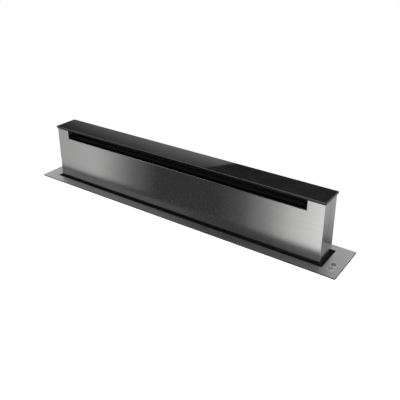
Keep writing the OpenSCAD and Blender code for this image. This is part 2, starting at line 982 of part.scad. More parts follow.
module blower_backplate() {
    color("silver")
    in_well() {
        difference() {
            at_blower() standing(blower_y, backplate_t) difference() {
                polygon(scroll_points(backplate_grow, outlet_reach));
                circle(mouth_r);
            }
            at_scroll_screws() screw_holes();
        }
        at_blower() standing(scroll_back, mouth_len) difference() {
            circle(mouth_r + mouth_wall);
            circle(mouth_r);
        }
    }
}

module blower_scroll() {
    color("silver")
    in_well() at_blower() standing(scroll_back, scroll_w) difference() {
        polygon(scroll_points(0, outlet_reach));
        polygon(scroll_points(-scroll_sheet, outlet_reach + cut));
    }
}

module blower_cover() {
    color("silver")
    in_well() at_blower() standing(scroll_front, scroll_sheet) difference() {
        polygon(scroll_points(0, outlet_reach));
        circle(motor_shaft_r + slide_gap);
    }
}

module blower_motor() {
    color("dimgray")
    in_well() at_blower() difference() {
        union() {
            standing(cover_front, blower_motor_len) circle(blower_motor_r);
            standing(cover_front - blower_motor_len + cut, blower_motor_cap_h + cut) circle(blower_motor_cap_r);
        }
        standing(cover_front + cut, blower_motor_len) circle(motor_shaft_r + fit_gap);
    }
}

module blower_wheel() {
    near = scroll_back - wheel_gap;
    far = near - wheel_w;
    color("dimgray")
    in_well() at_blower() {
        standing(far + hub_disc_t, hub_disc_t) circle(wheel_r);
        standing(near, shroud_t) difference() {
            circle(wheel_r);
            circle(wheel_r - shroud_w);
        }
        for (i = [0:blade_count - 1])
            rotate([0, i * 360 / blade_count, 0])
                translate([wheel_r - blade_chord, far + hub_disc_t / 2, 0]) rotate([0, blade_tilt, 0])
                    cube([blade_chord, wheel_w - hub_disc_t / 2 - shroud_t / 2, blade_t]);
        standing(far + hub_len, hub_len) circle(hub_r);
        standing(far + cut, far + cut - cover_front + blower_motor_len / 2) circle(motor_shaft_r);
    }
}

module outlet_collar() {
    color("silver")
    in_well() {
        difference() {
            block([outlet_x, outlet_x + collar_plate_t], span(scroll_w) + [outlet_y, outlet_y],
                [-blower_drop + outlet_low, -blower_drop + scroll_end_r]);
            translate([outlet_x - cut, outlet_y, outlet_z]) rotate([0, 90, 0])
                cylinder(r = collar_r - collar_wall, h = collar_len);
        }
        translate([outlet_x + collar_plate_t / 2, outlet_y, outlet_z]) rotate([0, 90, 0])
            tube(collar_r, collar_r - collar_wall, collar_len - collar_plate_t / 2);
    }
}

module damper_pin() {
    color("gray")
    in_well() translate([damper_x, outlet_y, outlet_z - collar_r + collar_wall + fit_gap])
        cylinder(r = damper_pin_r, h = 2 * (collar_r - collar_wall - fit_gap));
}

// The front half-round flap, its knuckles round the pin
module damper_flap(first)
    translate([damper_x, outlet_y, outlet_z]) {
        back = knuckle_r + touch_gap + flap_t;
        intersection() {
            translate([-back, 0, 0]) rotate([0, 90, 0]) cylinder(r = flap_r, h = flap_t);
            block([-back - cut, cut], [-flap_r, -flap_split], span(2 * flap_r));
        }
        for (side = [0, 1])
            mirror([0, 0, side]) translate([0, 0, knuckle_low + first * knuckle_pitch]) {
                tube(knuckle_r, damper_pin_r + fit_gap, knuckle_h);
                block([-back + flap_t / 2, -damper_pin_r - fit_gap - flap_split], [-knuckle_r, -flap_split], [0, knuckle_h]);
            }
    }

module damper_flap_front() {
    color("silver")
    in_well() damper_flap(1);
}

module damper_flap_rear() {
    color("silver")
    in_well() translate([0, outlet_y, 0]) mirror([0, 1, 0]) translate([0, -outlet_y, 0]) damper_flap(0);
}

// Controls

module button_bezels() {
    color("silver")
    for (y = button_ys)
        translate([button_x, y, 0]) {
            translate([0, 0, trim_top]) tube(bezel_r, button_r + touch_gap / 2, bezel_h);
            translate([0, 0, neck_low]) tube(neck_r, button_r + touch_gap / 2, trim_top - neck_low + bezel_h / 2);
        }
}

module button_switches() {
    color("black")
    for (y = button_ys)
        translate([button_x, y, neck_low - switch_h]) difference() {
            translate([0, 0, switch_h / 2]) cube([switch_w, switch_w, switch_h], center = true);
            translate([0, 0, switch_h - switch_bore_h])
                cylinder(r = button_stem_r + fit_gap, h = switch_bore_h + cut);
        }
}

// A push button: a dished cap on a stem
module push_button(y) {
    translate([button_x, y, 0]) {
        difference() {
            translate([0, 0, button_top - button_cap_h]) cylinder(r = button_r, h = button_cap_h);
            translate([0, 0, button_top + button_dish_r - button_dish]) sphere(button_dish_r);
        }
        translate([0, 0, stem_low])
            cylinder(r = button_stem_r, h = button_stem_len + cut);
    }
}

module raise_button() {
    color("dimgray")
    push_button(button_ys[0]);
}

module fan_button() {
    color("gray")
    push_button(button_ys[1]);
}

module control_box() {
    color("gray")
    in_well() difference() {
        union() {
            difference() {
                block(span(box_w) + [box_x, box_x], [box_front, -case_face], [box_low, box_top]);
                block(span(box_w - 2 * box_wall) + [box_x, box_x], [box_front - cut, -case_face - box_wall],
                    [box_low + box_wall, box_top - box_wall]);
            }
            for (x = [-1, 1], z = [-1, 1])
                translate([box_x + x * (box_w / 2 - board_margin - post_r), 0, box_mid + z * (box_h / 2 - board_margin - post_r)])
                    standing(-case_face - box_wall / 2, post_h + box_wall / 2) circle(post_r);
            translate([box_x, box_front + box_d / 2, box_low - gland_h + box_wall]) cylinder(r = gland_r + gland_wall, h = gland_h);
        }
        translate([box_x, box_front + box_d / 2, box_low - gland_h]) cylinder(r = gland_r, h = 2 * gland_h);
        translate([box_x, 0, box_mid]) standing(-case_face + cut, box_wall + 2 * cut) circle(lead_hole_r);
        rod(blower_lead_path[8], blower_lead_path[9] - [cut, cut, 0], lead_r + fit_gap);
    }
}

module control_lid() {
    color("gray")
    in_well() {
        block(span(box_w) + [box_x, box_x], [box_front - lid_t, box_front], [box_low, box_top]);
        difference() {
            block(span(box_w - 2 * box_wall - 2 * touch_gap) + [box_x, box_x], [box_front - lid_t / 2, box_front + lid_lip],
                [box_low + box_wall + touch_gap, box_top - box_wall - touch_gap]);
            block(span(box_w - 4 * box_wall - 2 * touch_gap) + [box_x, box_x], [box_front, box_front + lid_lip + cut],
                [box_low + 2 * box_wall + touch_gap, box_top - 2 * box_wall - touch_gap]);
        }
    }
}

module control_board() {
    color("darkgreen")
    in_well() translate([box_x, board_back, box_mid]) {
        block(span(box_w - 2 * board_margin), [-board_t, 0], span(box_h - 2 * board_margin));
        block([-box_w / 3, -box_w / 8], [-board_t - chip_h, -board_t / 2], [box_h / 12, box_h / 3]);
        for (i = [0:3])
            block([i * box_w / 12, i * box_w / 12 + box_w / 16], [-board_t - chip_h / 2, -board_t / 2], [-box_h / 3, -box_h / 6]);
    }
}

module lead_clips() {
    color("black")
    in_well() for (x = clip_xs)
        difference() {
            block(span(clip_w) + [x, x], [-inner_face, button_lead_path[1][1] + lead_r + clip_wall],
                span(2 * (lead_r + clip_wall)) + [button_lead_path[1][2], button_lead_path[1][2]]);
            translate([x - clip_w, button_lead_path[1][1], button_lead_path[1][2]]) rotate([0, 90, 0])
                cylinder(r = lead_r + fit_gap, h = 2 * clip_w);
        }
}

module button_lead() {
    color("black")
    in_well() lead(button_lead_path);
}

module lift_lead() {
    color("black")
    in_well() lead(lift_lead_path);
}

module blower_lead() {
    color("black")
    in_well() lead(blower_lead_path);
}

worktop_trim();
trim_gasket();
trim_studs();
trim_nuts();
well_liner();
well_seal();
case_front();
case_rear();
case_end_left();
case_end_right();
case_floor();
case_screws();
mounting_brackets();
bracket_bolts();
guide_rails();
belt_left();
belt_right();
idler_bracket_left();
idler_bracket_right();
shaft_bearings();
gearbox();
lift_motor();
limit_switches();
blower_backplate();
blower_scroll();
blower_cover();
blower_motor();
outlet_collar();
damper_pin();
button_bezels();
button_switches();
button_lead();
lead_clips();
blower_lead();
lift_lead();
control_box();
control_lid();
control_board();
cross_shaft();
drive_pulleys();
idler_pulley_left();
idler_pulley_right();
riser_front();
riser_rear();
riser_end_frame_left();
riser_end_frame_right();
lift_bracket_left();
lift_bracket_right();
slide_shoes();
belt_clamps();
cap_tray();
cap_glass();
intake_liner();
filter_left();
filter_right();
blower_wheel();
damper_flap_front();
damper_flap_rear();
raise_button();
fan_button();
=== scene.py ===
"""Finishes and finer pieces of a retractable downdraft vent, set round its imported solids."""

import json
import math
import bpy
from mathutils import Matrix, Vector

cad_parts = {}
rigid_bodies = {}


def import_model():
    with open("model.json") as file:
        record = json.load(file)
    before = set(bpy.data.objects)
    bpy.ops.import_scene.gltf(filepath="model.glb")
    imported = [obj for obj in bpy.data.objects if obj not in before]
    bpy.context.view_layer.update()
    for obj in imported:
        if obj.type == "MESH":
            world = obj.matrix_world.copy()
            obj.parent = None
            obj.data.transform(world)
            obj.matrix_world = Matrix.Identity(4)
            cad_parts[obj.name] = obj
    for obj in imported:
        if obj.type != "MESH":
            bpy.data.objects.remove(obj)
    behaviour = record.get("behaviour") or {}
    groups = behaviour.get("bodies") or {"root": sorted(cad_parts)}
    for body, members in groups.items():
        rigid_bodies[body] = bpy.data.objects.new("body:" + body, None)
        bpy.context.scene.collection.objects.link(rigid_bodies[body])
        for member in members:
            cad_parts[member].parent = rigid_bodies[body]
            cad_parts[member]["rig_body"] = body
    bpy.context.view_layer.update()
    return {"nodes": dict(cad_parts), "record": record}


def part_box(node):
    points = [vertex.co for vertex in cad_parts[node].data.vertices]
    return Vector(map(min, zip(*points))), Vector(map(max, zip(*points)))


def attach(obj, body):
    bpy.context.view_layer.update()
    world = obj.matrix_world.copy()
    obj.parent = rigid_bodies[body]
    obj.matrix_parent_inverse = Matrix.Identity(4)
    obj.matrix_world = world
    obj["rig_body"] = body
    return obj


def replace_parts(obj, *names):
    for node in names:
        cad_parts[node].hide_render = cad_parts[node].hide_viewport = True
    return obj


bl_info = {
    "name": "Downdraft vent",
    "version": (1, 0, 0),
    "blender": (4, 5, 0),
    "location": "3D View > Sidebar > Vent",
    "description": "Gives the downdraft vent its finishes and finer pieces, and sets up the studio",
    "category": "Object",
}

import bmesh
import bpy
from bpy.props import FloatProperty, FloatVectorProperty, IntProperty, PointerProperty
from mathutils import Matrix, Vector

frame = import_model()

MM = 0.001
# Where along Y the two shells of the column meet
SEAM_AT = 1.5 * MM
# Edges sharper than this are rounded or split the shading. Buttons and leads split it at their own angle
SHARP = math.radians(30)
SHARP_CAP = math.radians(50)
SHARP_LEAD = math.radians(60)
# On rounded pieces the shading splits above CREASE, and above SLIGHT beside a face WIDER times as wide
CREASE = math.radians(25)
SLIGHT = math.radians(4)
WIDER = 20
# Faces that turn less than FLAT are joined, and so are points closer than WELD
FLAT = math.radians(0.4)
WELD = 0.002 * MM
# The share of a face's direction that lies along an axis when the face looks that way
MOSTLY = 0.7
# How much more the way out counts than the way up in the grain of round pieces
RADIAL = 20
# The root of a thread and the start of a chamfer, as shares of the radius
ROOT = 0.86
# Rounding of the edges of sheet, of brackets and mouldings, of small parts, of rubber and of castings
SHEET_EDGE = 0.2 * MM
PLAIN_EDGE = 0.3 * MM
SMALL_EDGE = 0.4 * MM
SEAL_EDGE = 0.6 * MM
CAST_EDGE = 0.8 * MM
BLACK = (0.0, 0.0, 0.0, 1.0)
WHITE = (1.0, 1.0, 1.0, 1.0)
PREVIEW = (0.4, 0.4, 0.4, 1.0)
# Turns a piece made upright so that it lies along an axis
LAY = {"X": Matrix.Rotation(math.radians(90), 4, "Y"),
       "Y": Matrix.Rotation(math.radians(90), 4, "X"), "Z": Matrix.Identity(4)}

column_low, column_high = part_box("riser_front")
trim_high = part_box("worktop_trim")[1]
SLOT_OF = {part["node"]: part["material_slot"] for part in frame["record"]["subparts"]}
BODY_OF = {node: piece["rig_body"] for node, piece in frame["nodes"].items()}


# Sizes and colours that a user may change

def length(name, description, default, low=0.0, high=1.0):
    return FloatProperty(name=name, description=description, default=default, min=low, max=high,
                         subtype="DISTANCE", unit="LENGTH")


def colour(name, description, default):
    return FloatVectorProperty(name=name, description=description, default=default, size=3,
                               min=0.0, max=1.0, subtype="COLOR")


def share(name, description, default):
    return FloatProperty(name=name, description=description, default=default, min=0.0, max=1.0,
                         subtype="FACTOR")


class TrimSettings(bpy.types.PropertyGroup):
    edge: length("Edge", "Rounding of the trim's edges", 0.35 * MM)
    steel: colour("Steel", "Colour of the trim's steel", (0.60, 0.60, 0.595))
    roughness: share("Roughness", "How far the trim's steel spreads a reflection", 0.32)
    felt: colour("Felt", "Colour of the seal round the column", (0.012, 0.012, 0.012))
    squeeze: length("Squeeze", "How far the gasket spreads when the trim is screwed down", 2.2 * MM)


class ColumnSettings(bpy.types.PropertyGroup):
    fold: length("Fold", "Outer radius of the fold at each corner of the column", 1.1 * MM)
    edge: length("Edge", "Rounding of the sheet's cut edges", 0.15 * MM)
    lip: length("Lip", "Outer radius of the fold along the slot's lower edge", 3.0 * MM)
    seam: length("Seam", "Rounding of the sheet's edges where the two shells meet", 0.45 * MM)
    slot: length("Slot", "Height of the intake slot", 24 * MM)
    steel: colour("Steel", "Colour of the column's steel", (0.63, 0.63, 0.625))
    roughness: share("Roughness", "How far the column's steel spreads a reflection", 0.20)


class CapSettings(bpy.types.PropertyGroup):
    bevel: length("Bevel", "Width of the glass lid's ground edge", 0.5 * MM)
    glass: colour("Glass", "Colour behind the glass", (0.006, 0.006, 0.0065))


class IntakeSettings(bpy.types.PropertyGroup):
    pitch: length("Pitch", "Distance between the openings of the filter mesh", 5.0 * MM, 2 * MM)
    opening: share("Opening", "Share of each cell of the filter mesh that is open", 0.62)
    paint: colour("Paint", "Colour of the tray and the filters", (0.004, 0.004, 0.004))
    liner: colour("Liner", "Colour of the liner behind the slot", (0.12, 0.12, 0.12))


class ButtonSettings(bpy.types.PropertyGroup):
    ring: colour("Ring", "Colour of the rings round the buttons", (0.68, 0.68, 0.67))
    raise_face: colour("Raise button", "Colour of the rear button", (0.20, 0.20, 0.205))
    fan_face: colour("Fan button", "Colour of the front button", (0.34, 0.34, 0.345))


class HousingSettings(bpy.types.PropertyGroup):
    edge: length("Edge", "Rounding of the housing's sheet edges", 0.2 * MM)
    zinc: colour("Zinc", "Colour of the galvanised sheet", (0.50, 0.51, 0.52))
    spangle: length("Spangle", "Size of the zinc's crystals", 9 * MM, 1 * MM)
    screw_steps: IntProperty(name="Screw steps", description="Steps round a screw's head",
                             default=24, min=12, max=48)


class LiftSettings(bpy.types.PropertyGroup):
    tooth_pitch: length("Tooth pitch", "Distance between the belts' teeth", 3.0 * MM, 1 * MM)
    pulley_teeth: IntProperty(name="Pulley teeth", description="Number of teeth on each pulley", default=28,
                              min=16, max=40)
    tooth_depth: length("Tooth depth", "Depth of the belts' teeth", 0.8 * MM)
    aluminium: colour("Aluminium", "Colour of rails and pulleys", (0.66, 0.66, 0.67))


class BlowerSettings(bpy.types.PropertyGroup):
    blades: IntProperty(name="Blades", description="Number of blades on the wheel", default=32,
                        min=12, max=48)
    bead: length("Bead", "Height of the bead that keeps a hose on the collar", 1.2 * MM)
    motor: colour("Motor", "Colour of the motors' paint", (0.035, 0.036, 0.04))


class ControlSettings(bpy.types.PropertyGroup):
    edge: length("Edge", "Rounding of the control box's edges", 1.0 * MM)
    plastic: colour("Plastic", "Colour of the control box", (0.07, 0.07, 0.075))
    board: colour("Board", "Colour of the control board", (0.012, 0.10, 0.045))


class StageSettings(bpy.types.PropertyGroup):
    lens: FloatProperty(name="Lens", description="Focal length of the camera", default=50.86, min=20,
                        max=200, subtype="DISTANCE_CAMERA")
    camera_place: FloatVectorProperty(name="Camera", description="Where the camera stands",
                                      default=(0.791617, -1.042365, 0.712602), size=3,
                                      subtype="TRANSLATION", unit="LENGTH")
    camera_down: FloatProperty(name="Down", description="Angle of the view below the horizon",
                               default=math.radians(23.624), subtype="ANGLE", unit="ROTATION")
    camera_turn: FloatProperty(name="Turn", description="Angle of the view round the vent",
                               default=math.radians(34.869), subtype="ANGLE", unit="ROTATION")
    rise: FloatProperty(name="Rise", description="Vertical shift of the camera's frame", default=-0.10)
    world_light: FloatProperty(name="World light", description="Strength of the light from all round",
                               default=0.55, min=0, max=5)
    key_power: FloatProperty(name="Key lamp", description="Power of the lamp overhead", default=9.0,
                             min=0, max=500, subtype="POWER", unit="POWER")
    fill_power: FloatProperty(name="Fill lamp", description="Power of the lamp at the right",
                              default=5.0, min=0, max=500, subtype="POWER", unit="POWER")


# Shader wiring

def fill(tree, socket, value):
    """Joins a socket to another node's output, or sets its value."""
    if isinstance(value, bpy.types.NodeSocket):
        tree.links.new(value, socket)
    else:
        socket.default_value = value


def wire(tree, kind, inputs=None, **settings):
    """Adds a node, sets it, and fills its inputs with values or with other nodes' outputs."""
    node = tree.nodes.new(kind)
    for name, value in settings.items():
        setattr(node, name, value)
    for name, value in (inputs or {}).items():
        fill(tree, node.inputs[name], value)
    return node


def flow(tree, kind, inputs, **settings):
    """Adds a node as wire does, and gives its first output."""
    return wire(tree, kind, inputs, **settings).outputs[0]


def calc(tree, operation, *values, clamp=False):
    return flow(tree, "ShaderNodeMath", dict(enumerate(values)), operation=operation, use_clamp=clamp)


def scaled(tree, vector, scale):
    return flow(tree, "ShaderNodeVectorMath", {0: vector, 1: scale}, operation="MULTIPLY")


def spread(tree, value, low, high, to_low=0.0, to_high=1.0):
    return wire(tree, "ShaderNodeMapRange", {"Value": value, "From Min": low, "From Max": high,
                                             "To Min": to_low, "To Max": to_high}).outputs["Result"]


def blended(tree, factor, first, second):
    """A colour mix: each end is a colour or an output."""
    return wire(tree, "ShaderNodeMix", {0: factor, 6: first, 7: second}, data_type="RGBA").outputs[2]


def noise(tree, vector, scale, detail=2.0, roughness=0.5):
    return wire(tree, "ShaderNodeTexNoise", {"Vector": vector, "Scale": scale, "Detail": detail,
                                             "Roughness": roughness}).outputs["Fac"]


def place_of(tree):
    return tree.nodes.new("ShaderNodeTexCoord").outputs["Object"]


def parts_of(tree, vector):
    """The X, Y and Z of a vector."""
    return wire(tree, "ShaderNodeSeparateXYZ", {0: vector}).outputs


def normal_of(tree):
    """The X, Y and Z of the way a face looks."""
    return parts_of(tree, tree.nodes.new("ShaderNodeTexCoord").outputs["Normal"])


def solid(rgb):
    return (*rgb, 1.0)


def shade(rgb, factor):
    return (*(channel * factor for channel in rgb), 1.0)


# Effects that several finishes share

def effect(name, inputs, outputs, build):
    """A shader node group with named inputs and outputs."""
    tree = bpy.data.node_groups.new(name, "ShaderNodeTree")
    for label, default in inputs.items():
        kind = "NodeSocketVector" if default is None else "NodeSocketFloat"
        socket = tree.interface.new_socket(label, in_out="INPUT", socket_type=kind)
        if default is not None:
            socket.default_value = default
    for label in outputs:
        kind = "NodeSocketVector" if label == "Vector" else "NodeSocketFloat"
        tree.interface.new_socket(label, in_out="OUTPUT", socket_type=kind)
    given = tree.nodes.new("NodeGroupInput").outputs
    result = tree.nodes.new("NodeGroupOutput").inputs
    for label, socket in build(tree, given).items():
        tree.links.new(socket, result[label])


def placed(tree, group, **inputs):
    """Puts an effect in a material, with its own values, and gives its outputs."""
    node = tree.nodes.new("ShaderNodeGroup")
    node.node_tree = bpy.data.node_groups[group]
    for label, value in inputs.items():
        fill(tree, node.inputs[label.capitalize()], value)
    return node.outputs


def grain_direction(tree, given):
    """Turns the grain upright on faces that look along X, as the folded ends have it."""
    on_end = calc(tree, "GREATER_THAN", calc(tree, "ABSOLUTE", normal_of(tree)[0]), MOSTLY)
    place = place_of(tree)
    x, y, z = parts_of(tree, place)
    upright = flow(tree, "ShaderNodeCombineXYZ", {0: z, 1: y, 2: x})
    mix = wire(tree, "ShaderNodeMix", {0: on_end, 4: place, 5: upright}, data_type="VECTOR")
    return {"Vector": mix.outputs[1]}


def brushed_grain(tree, given):
    """Fine streaks along the first axis, in two widths, with a slow change of tone."""
    fine = noise(tree, scaled(tree, given["Vector"], (14.0, 2600.0, 2600.0)), 1.0, 3.0, 0.65)
    broad = noise(tree, scaled(tree, given["Vector"], (3.0, 420.0, 420.0)), 1.0, 2.0, 0.6)
    slow = noise(tree, given["Vector"], 5.0, 1.0)
    both = calc(tree, "ADD", calc(tree, "MULTIPLY", fine, 0.6), calc(tree, "MULTIPLY", broad, 0.4))
    return {"Streak": both, "Cloud": slow}


def zinc_spangle(tree, given):
    """Flat crystals of differing brightness, as on hot-dipped sheet."""
    size = calc(tree, "DIVIDE", 1.0, given["Size"])
    bent = wire(tree, "ShaderNodeTexNoise", {"Vector": given["Vector"], "Scale": 130.0, "Detail": 1.0})
    shift = scaled(tree, bent.outputs["Color"], (0.004, 0.004, 0.004))
    moved = flow(tree, "ShaderNodeVectorMath", {0: given["Vector"], 1: shift}, operation="ADD")
    cells = wire(tree, "ShaderNodeTexVoronoi", {"Vector": moved, "Scale": size}).outputs
    tone = wire(tree, "ShaderNodeSeparateColor", {0: cells["Color"]}).outputs
    veins = calc(tree, "MULTIPLY", cells["Distance"], 0.35)
    return {"Tone": calc(tree, "SUBTRACT", tone[0], veins, clamp=True), "Streak": tone[1]}


def worn_edge(tree, given):
    """A mask that rises where a face turns into the next one, broken up by noise."""
    soft = flow(tree, "ShaderNodeBevel", {"Radius": given["Width"]}, samples=4)
    hard = tree.nodes.new("ShaderNodeNewGeometry").outputs["Normal"]
    same = wire(tree, "ShaderNodeVectorMath", {0: soft, 1: hard}, operation="DOT_PRODUCT")
    turn = calc(tree, "SUBTRACT", 1.0, same.outputs["Value"], clamp=True)
    broken = spread(tree, noise(tree, given["Vector"], 180.0, 3.0), 0.35, 0.7)
    return {"Mask": calc(tree, "MULTIPLY", calc(tree, "MULTIPLY", turn, 6.0), broken, clamp=True)}


def settled_dust(tree, given):
    """A mask of dust, thicker on faces that look up and in soft patches."""
    up = spread(tree, normal_of(tree)[2], -0.2, 1.0)
    patches = spread(tree, noise(tree, given["Vector"], 26.0, 4.0, 0.6), 0.4, 0.75)
    return {"Mask": calc(tree, "MULTIPLY", calc(tree, "MULTIPLY", up, patches), given["Amount"])}


def moulded_skin(tree, given):
    """The fine pebble of a moulded or sprayed surface."""
    size = calc(tree, "DIVIDE", 1.0, given["Size"])
    pebble = wire(tree, "ShaderNodeTexVoronoi", {"Vector": given["Vector"], "Scale": size},
                  feature="SMOOTH_F1")
    fine = noise(tree, given["Vector"], calc(tree, "MULTIPLY", size, 2.3), 2.0)
    return {"Height": calc(tree, "MULTIPLY_ADD", pebble.outputs["Distance"], 0.6, fine)}


def pressed_fibres(tree, given):
    """Short crossing fibres, as in felt."""
    one = noise(tree, scaled(tree, given["Vector"], (900.0, 4200.0, 4200.0)), 1.0, 3.0, 0.7)
    other = noise(tree, scaled(tree, given["Vector"], (4200.0, 900.0, 2600.0)), 1.0, 3.0, 0.7)
    return {"Height": calc(tree, "MAXIMUM", one, other)}


def make_effects():
    effect("Grain direction", {}, ["Vector"], grain_direction)
    effect("Brushed grain", {"Vector": None}, ["Streak", "Cloud"], brushed_grain)
    effect("Zinc spangle", {"Vector": None, "Size": 9 * MM}, ["Tone", "Streak"], zinc_spangle)
    effect("Worn edge", {"Vector": None, "Width": 0.6 * MM}, ["Mask"], worn_edge)
    effect("Settled dust", {"Vector": None, "Amount": 0.2}, ["Mask"], settled_dust)
    effect("Moulded skin", {"Vector": None, "Size": 1 * MM}, ["Height"], moulded_skin)
    effect("Pressed fibres", {"Vector": None}, ["Height"], pressed_fibres)


# Finishes

FINISHES = {}


def empty_material(name):
    made = bpy.data.materials.new(name)
    made.use_nodes = True
    made.node_tree.nodes.clear()
    return made


def finish(name, build, **constants):
    """A material with one Principled shader. build gives its varying inputs."""
    made = empty_material("vent_" + name)
    made.diffuse_color = PREVIEW
    tree = made.node_tree
    varying = build(tree)
    steady = {label.replace("_", " "): value for label, value in constants.items()}
    shader = flow(tree, "ShaderNodeBsdfPrincipled", {**steady, **varying})
    wire(tree, "ShaderNodeOutputMaterial", {"Surface": shader})
    FINISHES[name] = made


def bumped(tree, height, depth, strength=1.0):
    return flow(tree, "ShaderNodeBump", {"Height": height, "Distance": depth, "Strength": strength})


def narrow_band(tree, value, middle, half):
    """1 where the value lies within half of middle."""
    return calc(tree, "LESS_THAN", calc(tree, "ABSOLUTE", calc(tree, "SUBTRACT", value, middle)), half)


def shaded_cut_edge(tree):
    """1 on the upright faces of a flat sheet, its sheared edges, where the steel gets painted shade."""
    return calc(tree, "LESS_THAN", calc(tree, "ABSOLUTE", normal_of(tree)[2]), 0.6)


def shaded_seam(tree):
    """1 in the joint down the middle of each end, where the two shells meet, which gets painted shade."""
    on_end = calc(tree, "GREATER_THAN", calc(tree, "ABSOLUTE", normal_of(tree)[0]), 0.3)
    joint = narrow_band(tree, parts_of(tree, place_of(tree))[1], SEAM_AT, 0.6 * MM)
    return calc(tree, "MULTIPLY", on_end, joint)


def brushed_steel(name, rgb, roughness, upright_ends=True, anisotropy=0.6, painted_shade=None, metal=1.0):
    """Steel brushed along its length. The spread of its reflections runs across the grain.

    An optional mask gives painted shade: where it is 1, the steel's colour falls to near black."""
    def build(tree):
        vector = placed(tree, "Grain direction")["Vector"] if upright_ends else place_of(tree)
        grain = placed(tree, "Brushed grain", vector=vector)
        tone = spread(tree, grain["Streak"], 0.3, 0.7, 0.9, 1.07)
        across = flow(tree, "ShaderNodeTangent", {}, direction_type="UV_MAP", uv_map="Grain")
        base = blended(tree, tone, BLACK, solid(rgb))
        return {
            # Painted shade: masked faces get 12% of the steel's colour
            "Base Color": blended(tree, painted_shade(tree), base, shade(rgb, 0.12)) if painted_shade else base,
            "Roughness": spread(tree, grain["Cloud"], 0.3, 0.7, roughness * 0.92, roughness * 1.08),
            "Normal": bumped(tree, grain["Streak"], depth=0.01 * MM, strength=0.05),
            "Tangent": across,
        }
    finish(name, build, Metallic=metal, Anisotropic=anisotropy)


def black_glass(name, rgb):
    """Glass painted black on its back: a deep, faintly wiped surface with a finely ground arris. Only the
    upward-facing arris is pale and rough, partly ground glass and partly a painted highlight.
    """
    def build(tree):
        place = place_of(tree)
        film = noise(tree, scaled(tree, place, (9.0, 30.0, 30.0)), 1.0, 4.0, 0.6)
        dust = placed(tree, "Settled dust", vector=place, amount=0.02)["Mask"]
        up = normal_of(tree)[2]
        # The upward-facing arris only: its pale grey is ground glass and a painted highlight
        arris = calc(tree, "MULTIPLY", calc(tree, "GREATER_THAN", up, 0.2),
                     calc(tree, "LESS_THAN", up, 0.95))
        grit = spread(tree, noise(tree, place, 4000.0, 1.0), 0.3, 0.7, 0.08, 0.2)
        face = blended(tree, dust, solid(rgb), solid((0.5, 0.5, 0.5)))
        return {
            "Base Color": blended(tree, arris, face, blended(tree, grit, BLACK, WHITE)),
            "Roughness": calc(tree, "MAXIMUM", spread(tree, film, 0.3, 0.75, 0.02, 0.06),
                              calc(tree, "MULTIPLY", arris, 0.5)),
        }
    finish(name, build, IOR=1.5)


def coated(name, rgb, roughness, skin, depth, wear=0.0, under=(0.3, 0.3, 0.3), dust=0.1, **constants):
    """Paint, plastic or rubber: a moulded skin, edges that wear to what lies under, and some dust."""
    def build(tree):
        place = place_of(tree)
        height = placed(tree, "Moulded skin", vector=place, size=skin)["Height"]
        tone = spread(tree, noise(tree, place, 40.0, 3.0), 0.3, 0.7, 0.85, 1.15)
        base = blended(tree, tone, BLACK, solid(rgb))
        if wear:
            edge = placed(tree, "Worn edge", vector=place, width=0.5 * MM)["Mask"]
            base = blended(tree, calc(tree, "MULTIPLY", edge, wear), base, solid(under))
        film = placed(tree, "Settled dust", vector=place, amount=dust)["Mask"]
        base = blended(tree, film, base, solid((0.35, 0.34, 0.32)))
        return {
            "Base Color": base,
            "Roughness": spread(tree, calc(tree, "ADD", height, film), 0.2, 1.2, roughness * 0.9,
                                min(1.0, roughness * 1.15)),
            "Normal": bumped(tree, height, depth, 0.6),
        }
    finish(name, build, **constants)


def galvanised(name, rgb, size):
    def build(tree):
        place = place_of(tree)
        zinc = placed(tree, "Zinc spangle", vector=place, size=size)
        edge = placed(tree, "Worn edge", vector=place, width=0.4 * MM)["Mask"]
        dust = placed(tree, "Settled dust", vector=place, amount=0.12)["Mask"]
        base = blended(tree, zinc["Tone"], shade(rgb, 0.72), shade(rgb, 1.12))
        base = blended(tree, calc(tree, "MULTIPLY", edge, 0.35), base, shade(rgb, 1.3))
        return {
            "Base Color": blended(tree, dust, base, solid((0.38, 0.37, 0.35))),
            "Metallic": calc(tree, "SUBTRACT", 1.0, dust),
            "Roughness": spread(tree, zinc["Streak"], 0.0, 1.0, 0.34, 0.52),
            "Normal": bumped(tree, zinc["Tone"], 0.02 * MM, 0.4),
        }
    finish(name, build)


def bare_metal(name, rgb, roughness, grain=0.35, skin=0.6 * MM, wear=0.3):
    """Cast, turned or plated metal with a fine texture and brighter edges."""
    def build(tree):
        place = place_of(tree)
        height = placed(tree, "Moulded skin", vector=place, size=skin)["Height"]
        edge = placed(tree, "Worn edge", vector=place, width=0.4 * MM)["Mask"]
        tone = spread(tree, height, 0.3, 1.2)
        base = blended(tree, tone, shade(rgb, 0.82), shade(rgb, 1.08))
        return {
            "Base Color": blended(tree, calc(tree, "MULTIPLY", edge, wear), base, shade(rgb, 1.35)),
            "Roughness": spread(tree, tone, 0.0, 1.0, roughness * 0.85, roughness * 1.15),
            "Normal": bumped(tree, height, 0.02 * MM, grain),
        }
    finish(name, build, Metallic=1.0)


def felt(name, rgb):
    def build(tree):
        place = place_of(tree)
        height = placed(tree, "Pressed fibres", vector=place)["Height"]
        return {
            "Base Color": blended(tree, spread(tree, height, 0.4, 0.8), shade(rgb, 0.7), shade(rgb, 2.2)),
            "Normal": bumped(tree, height, 0.3 * MM, 0.8),
        }
    finish(name, build, Roughness=0.95, Sheen_Weight=0.15)


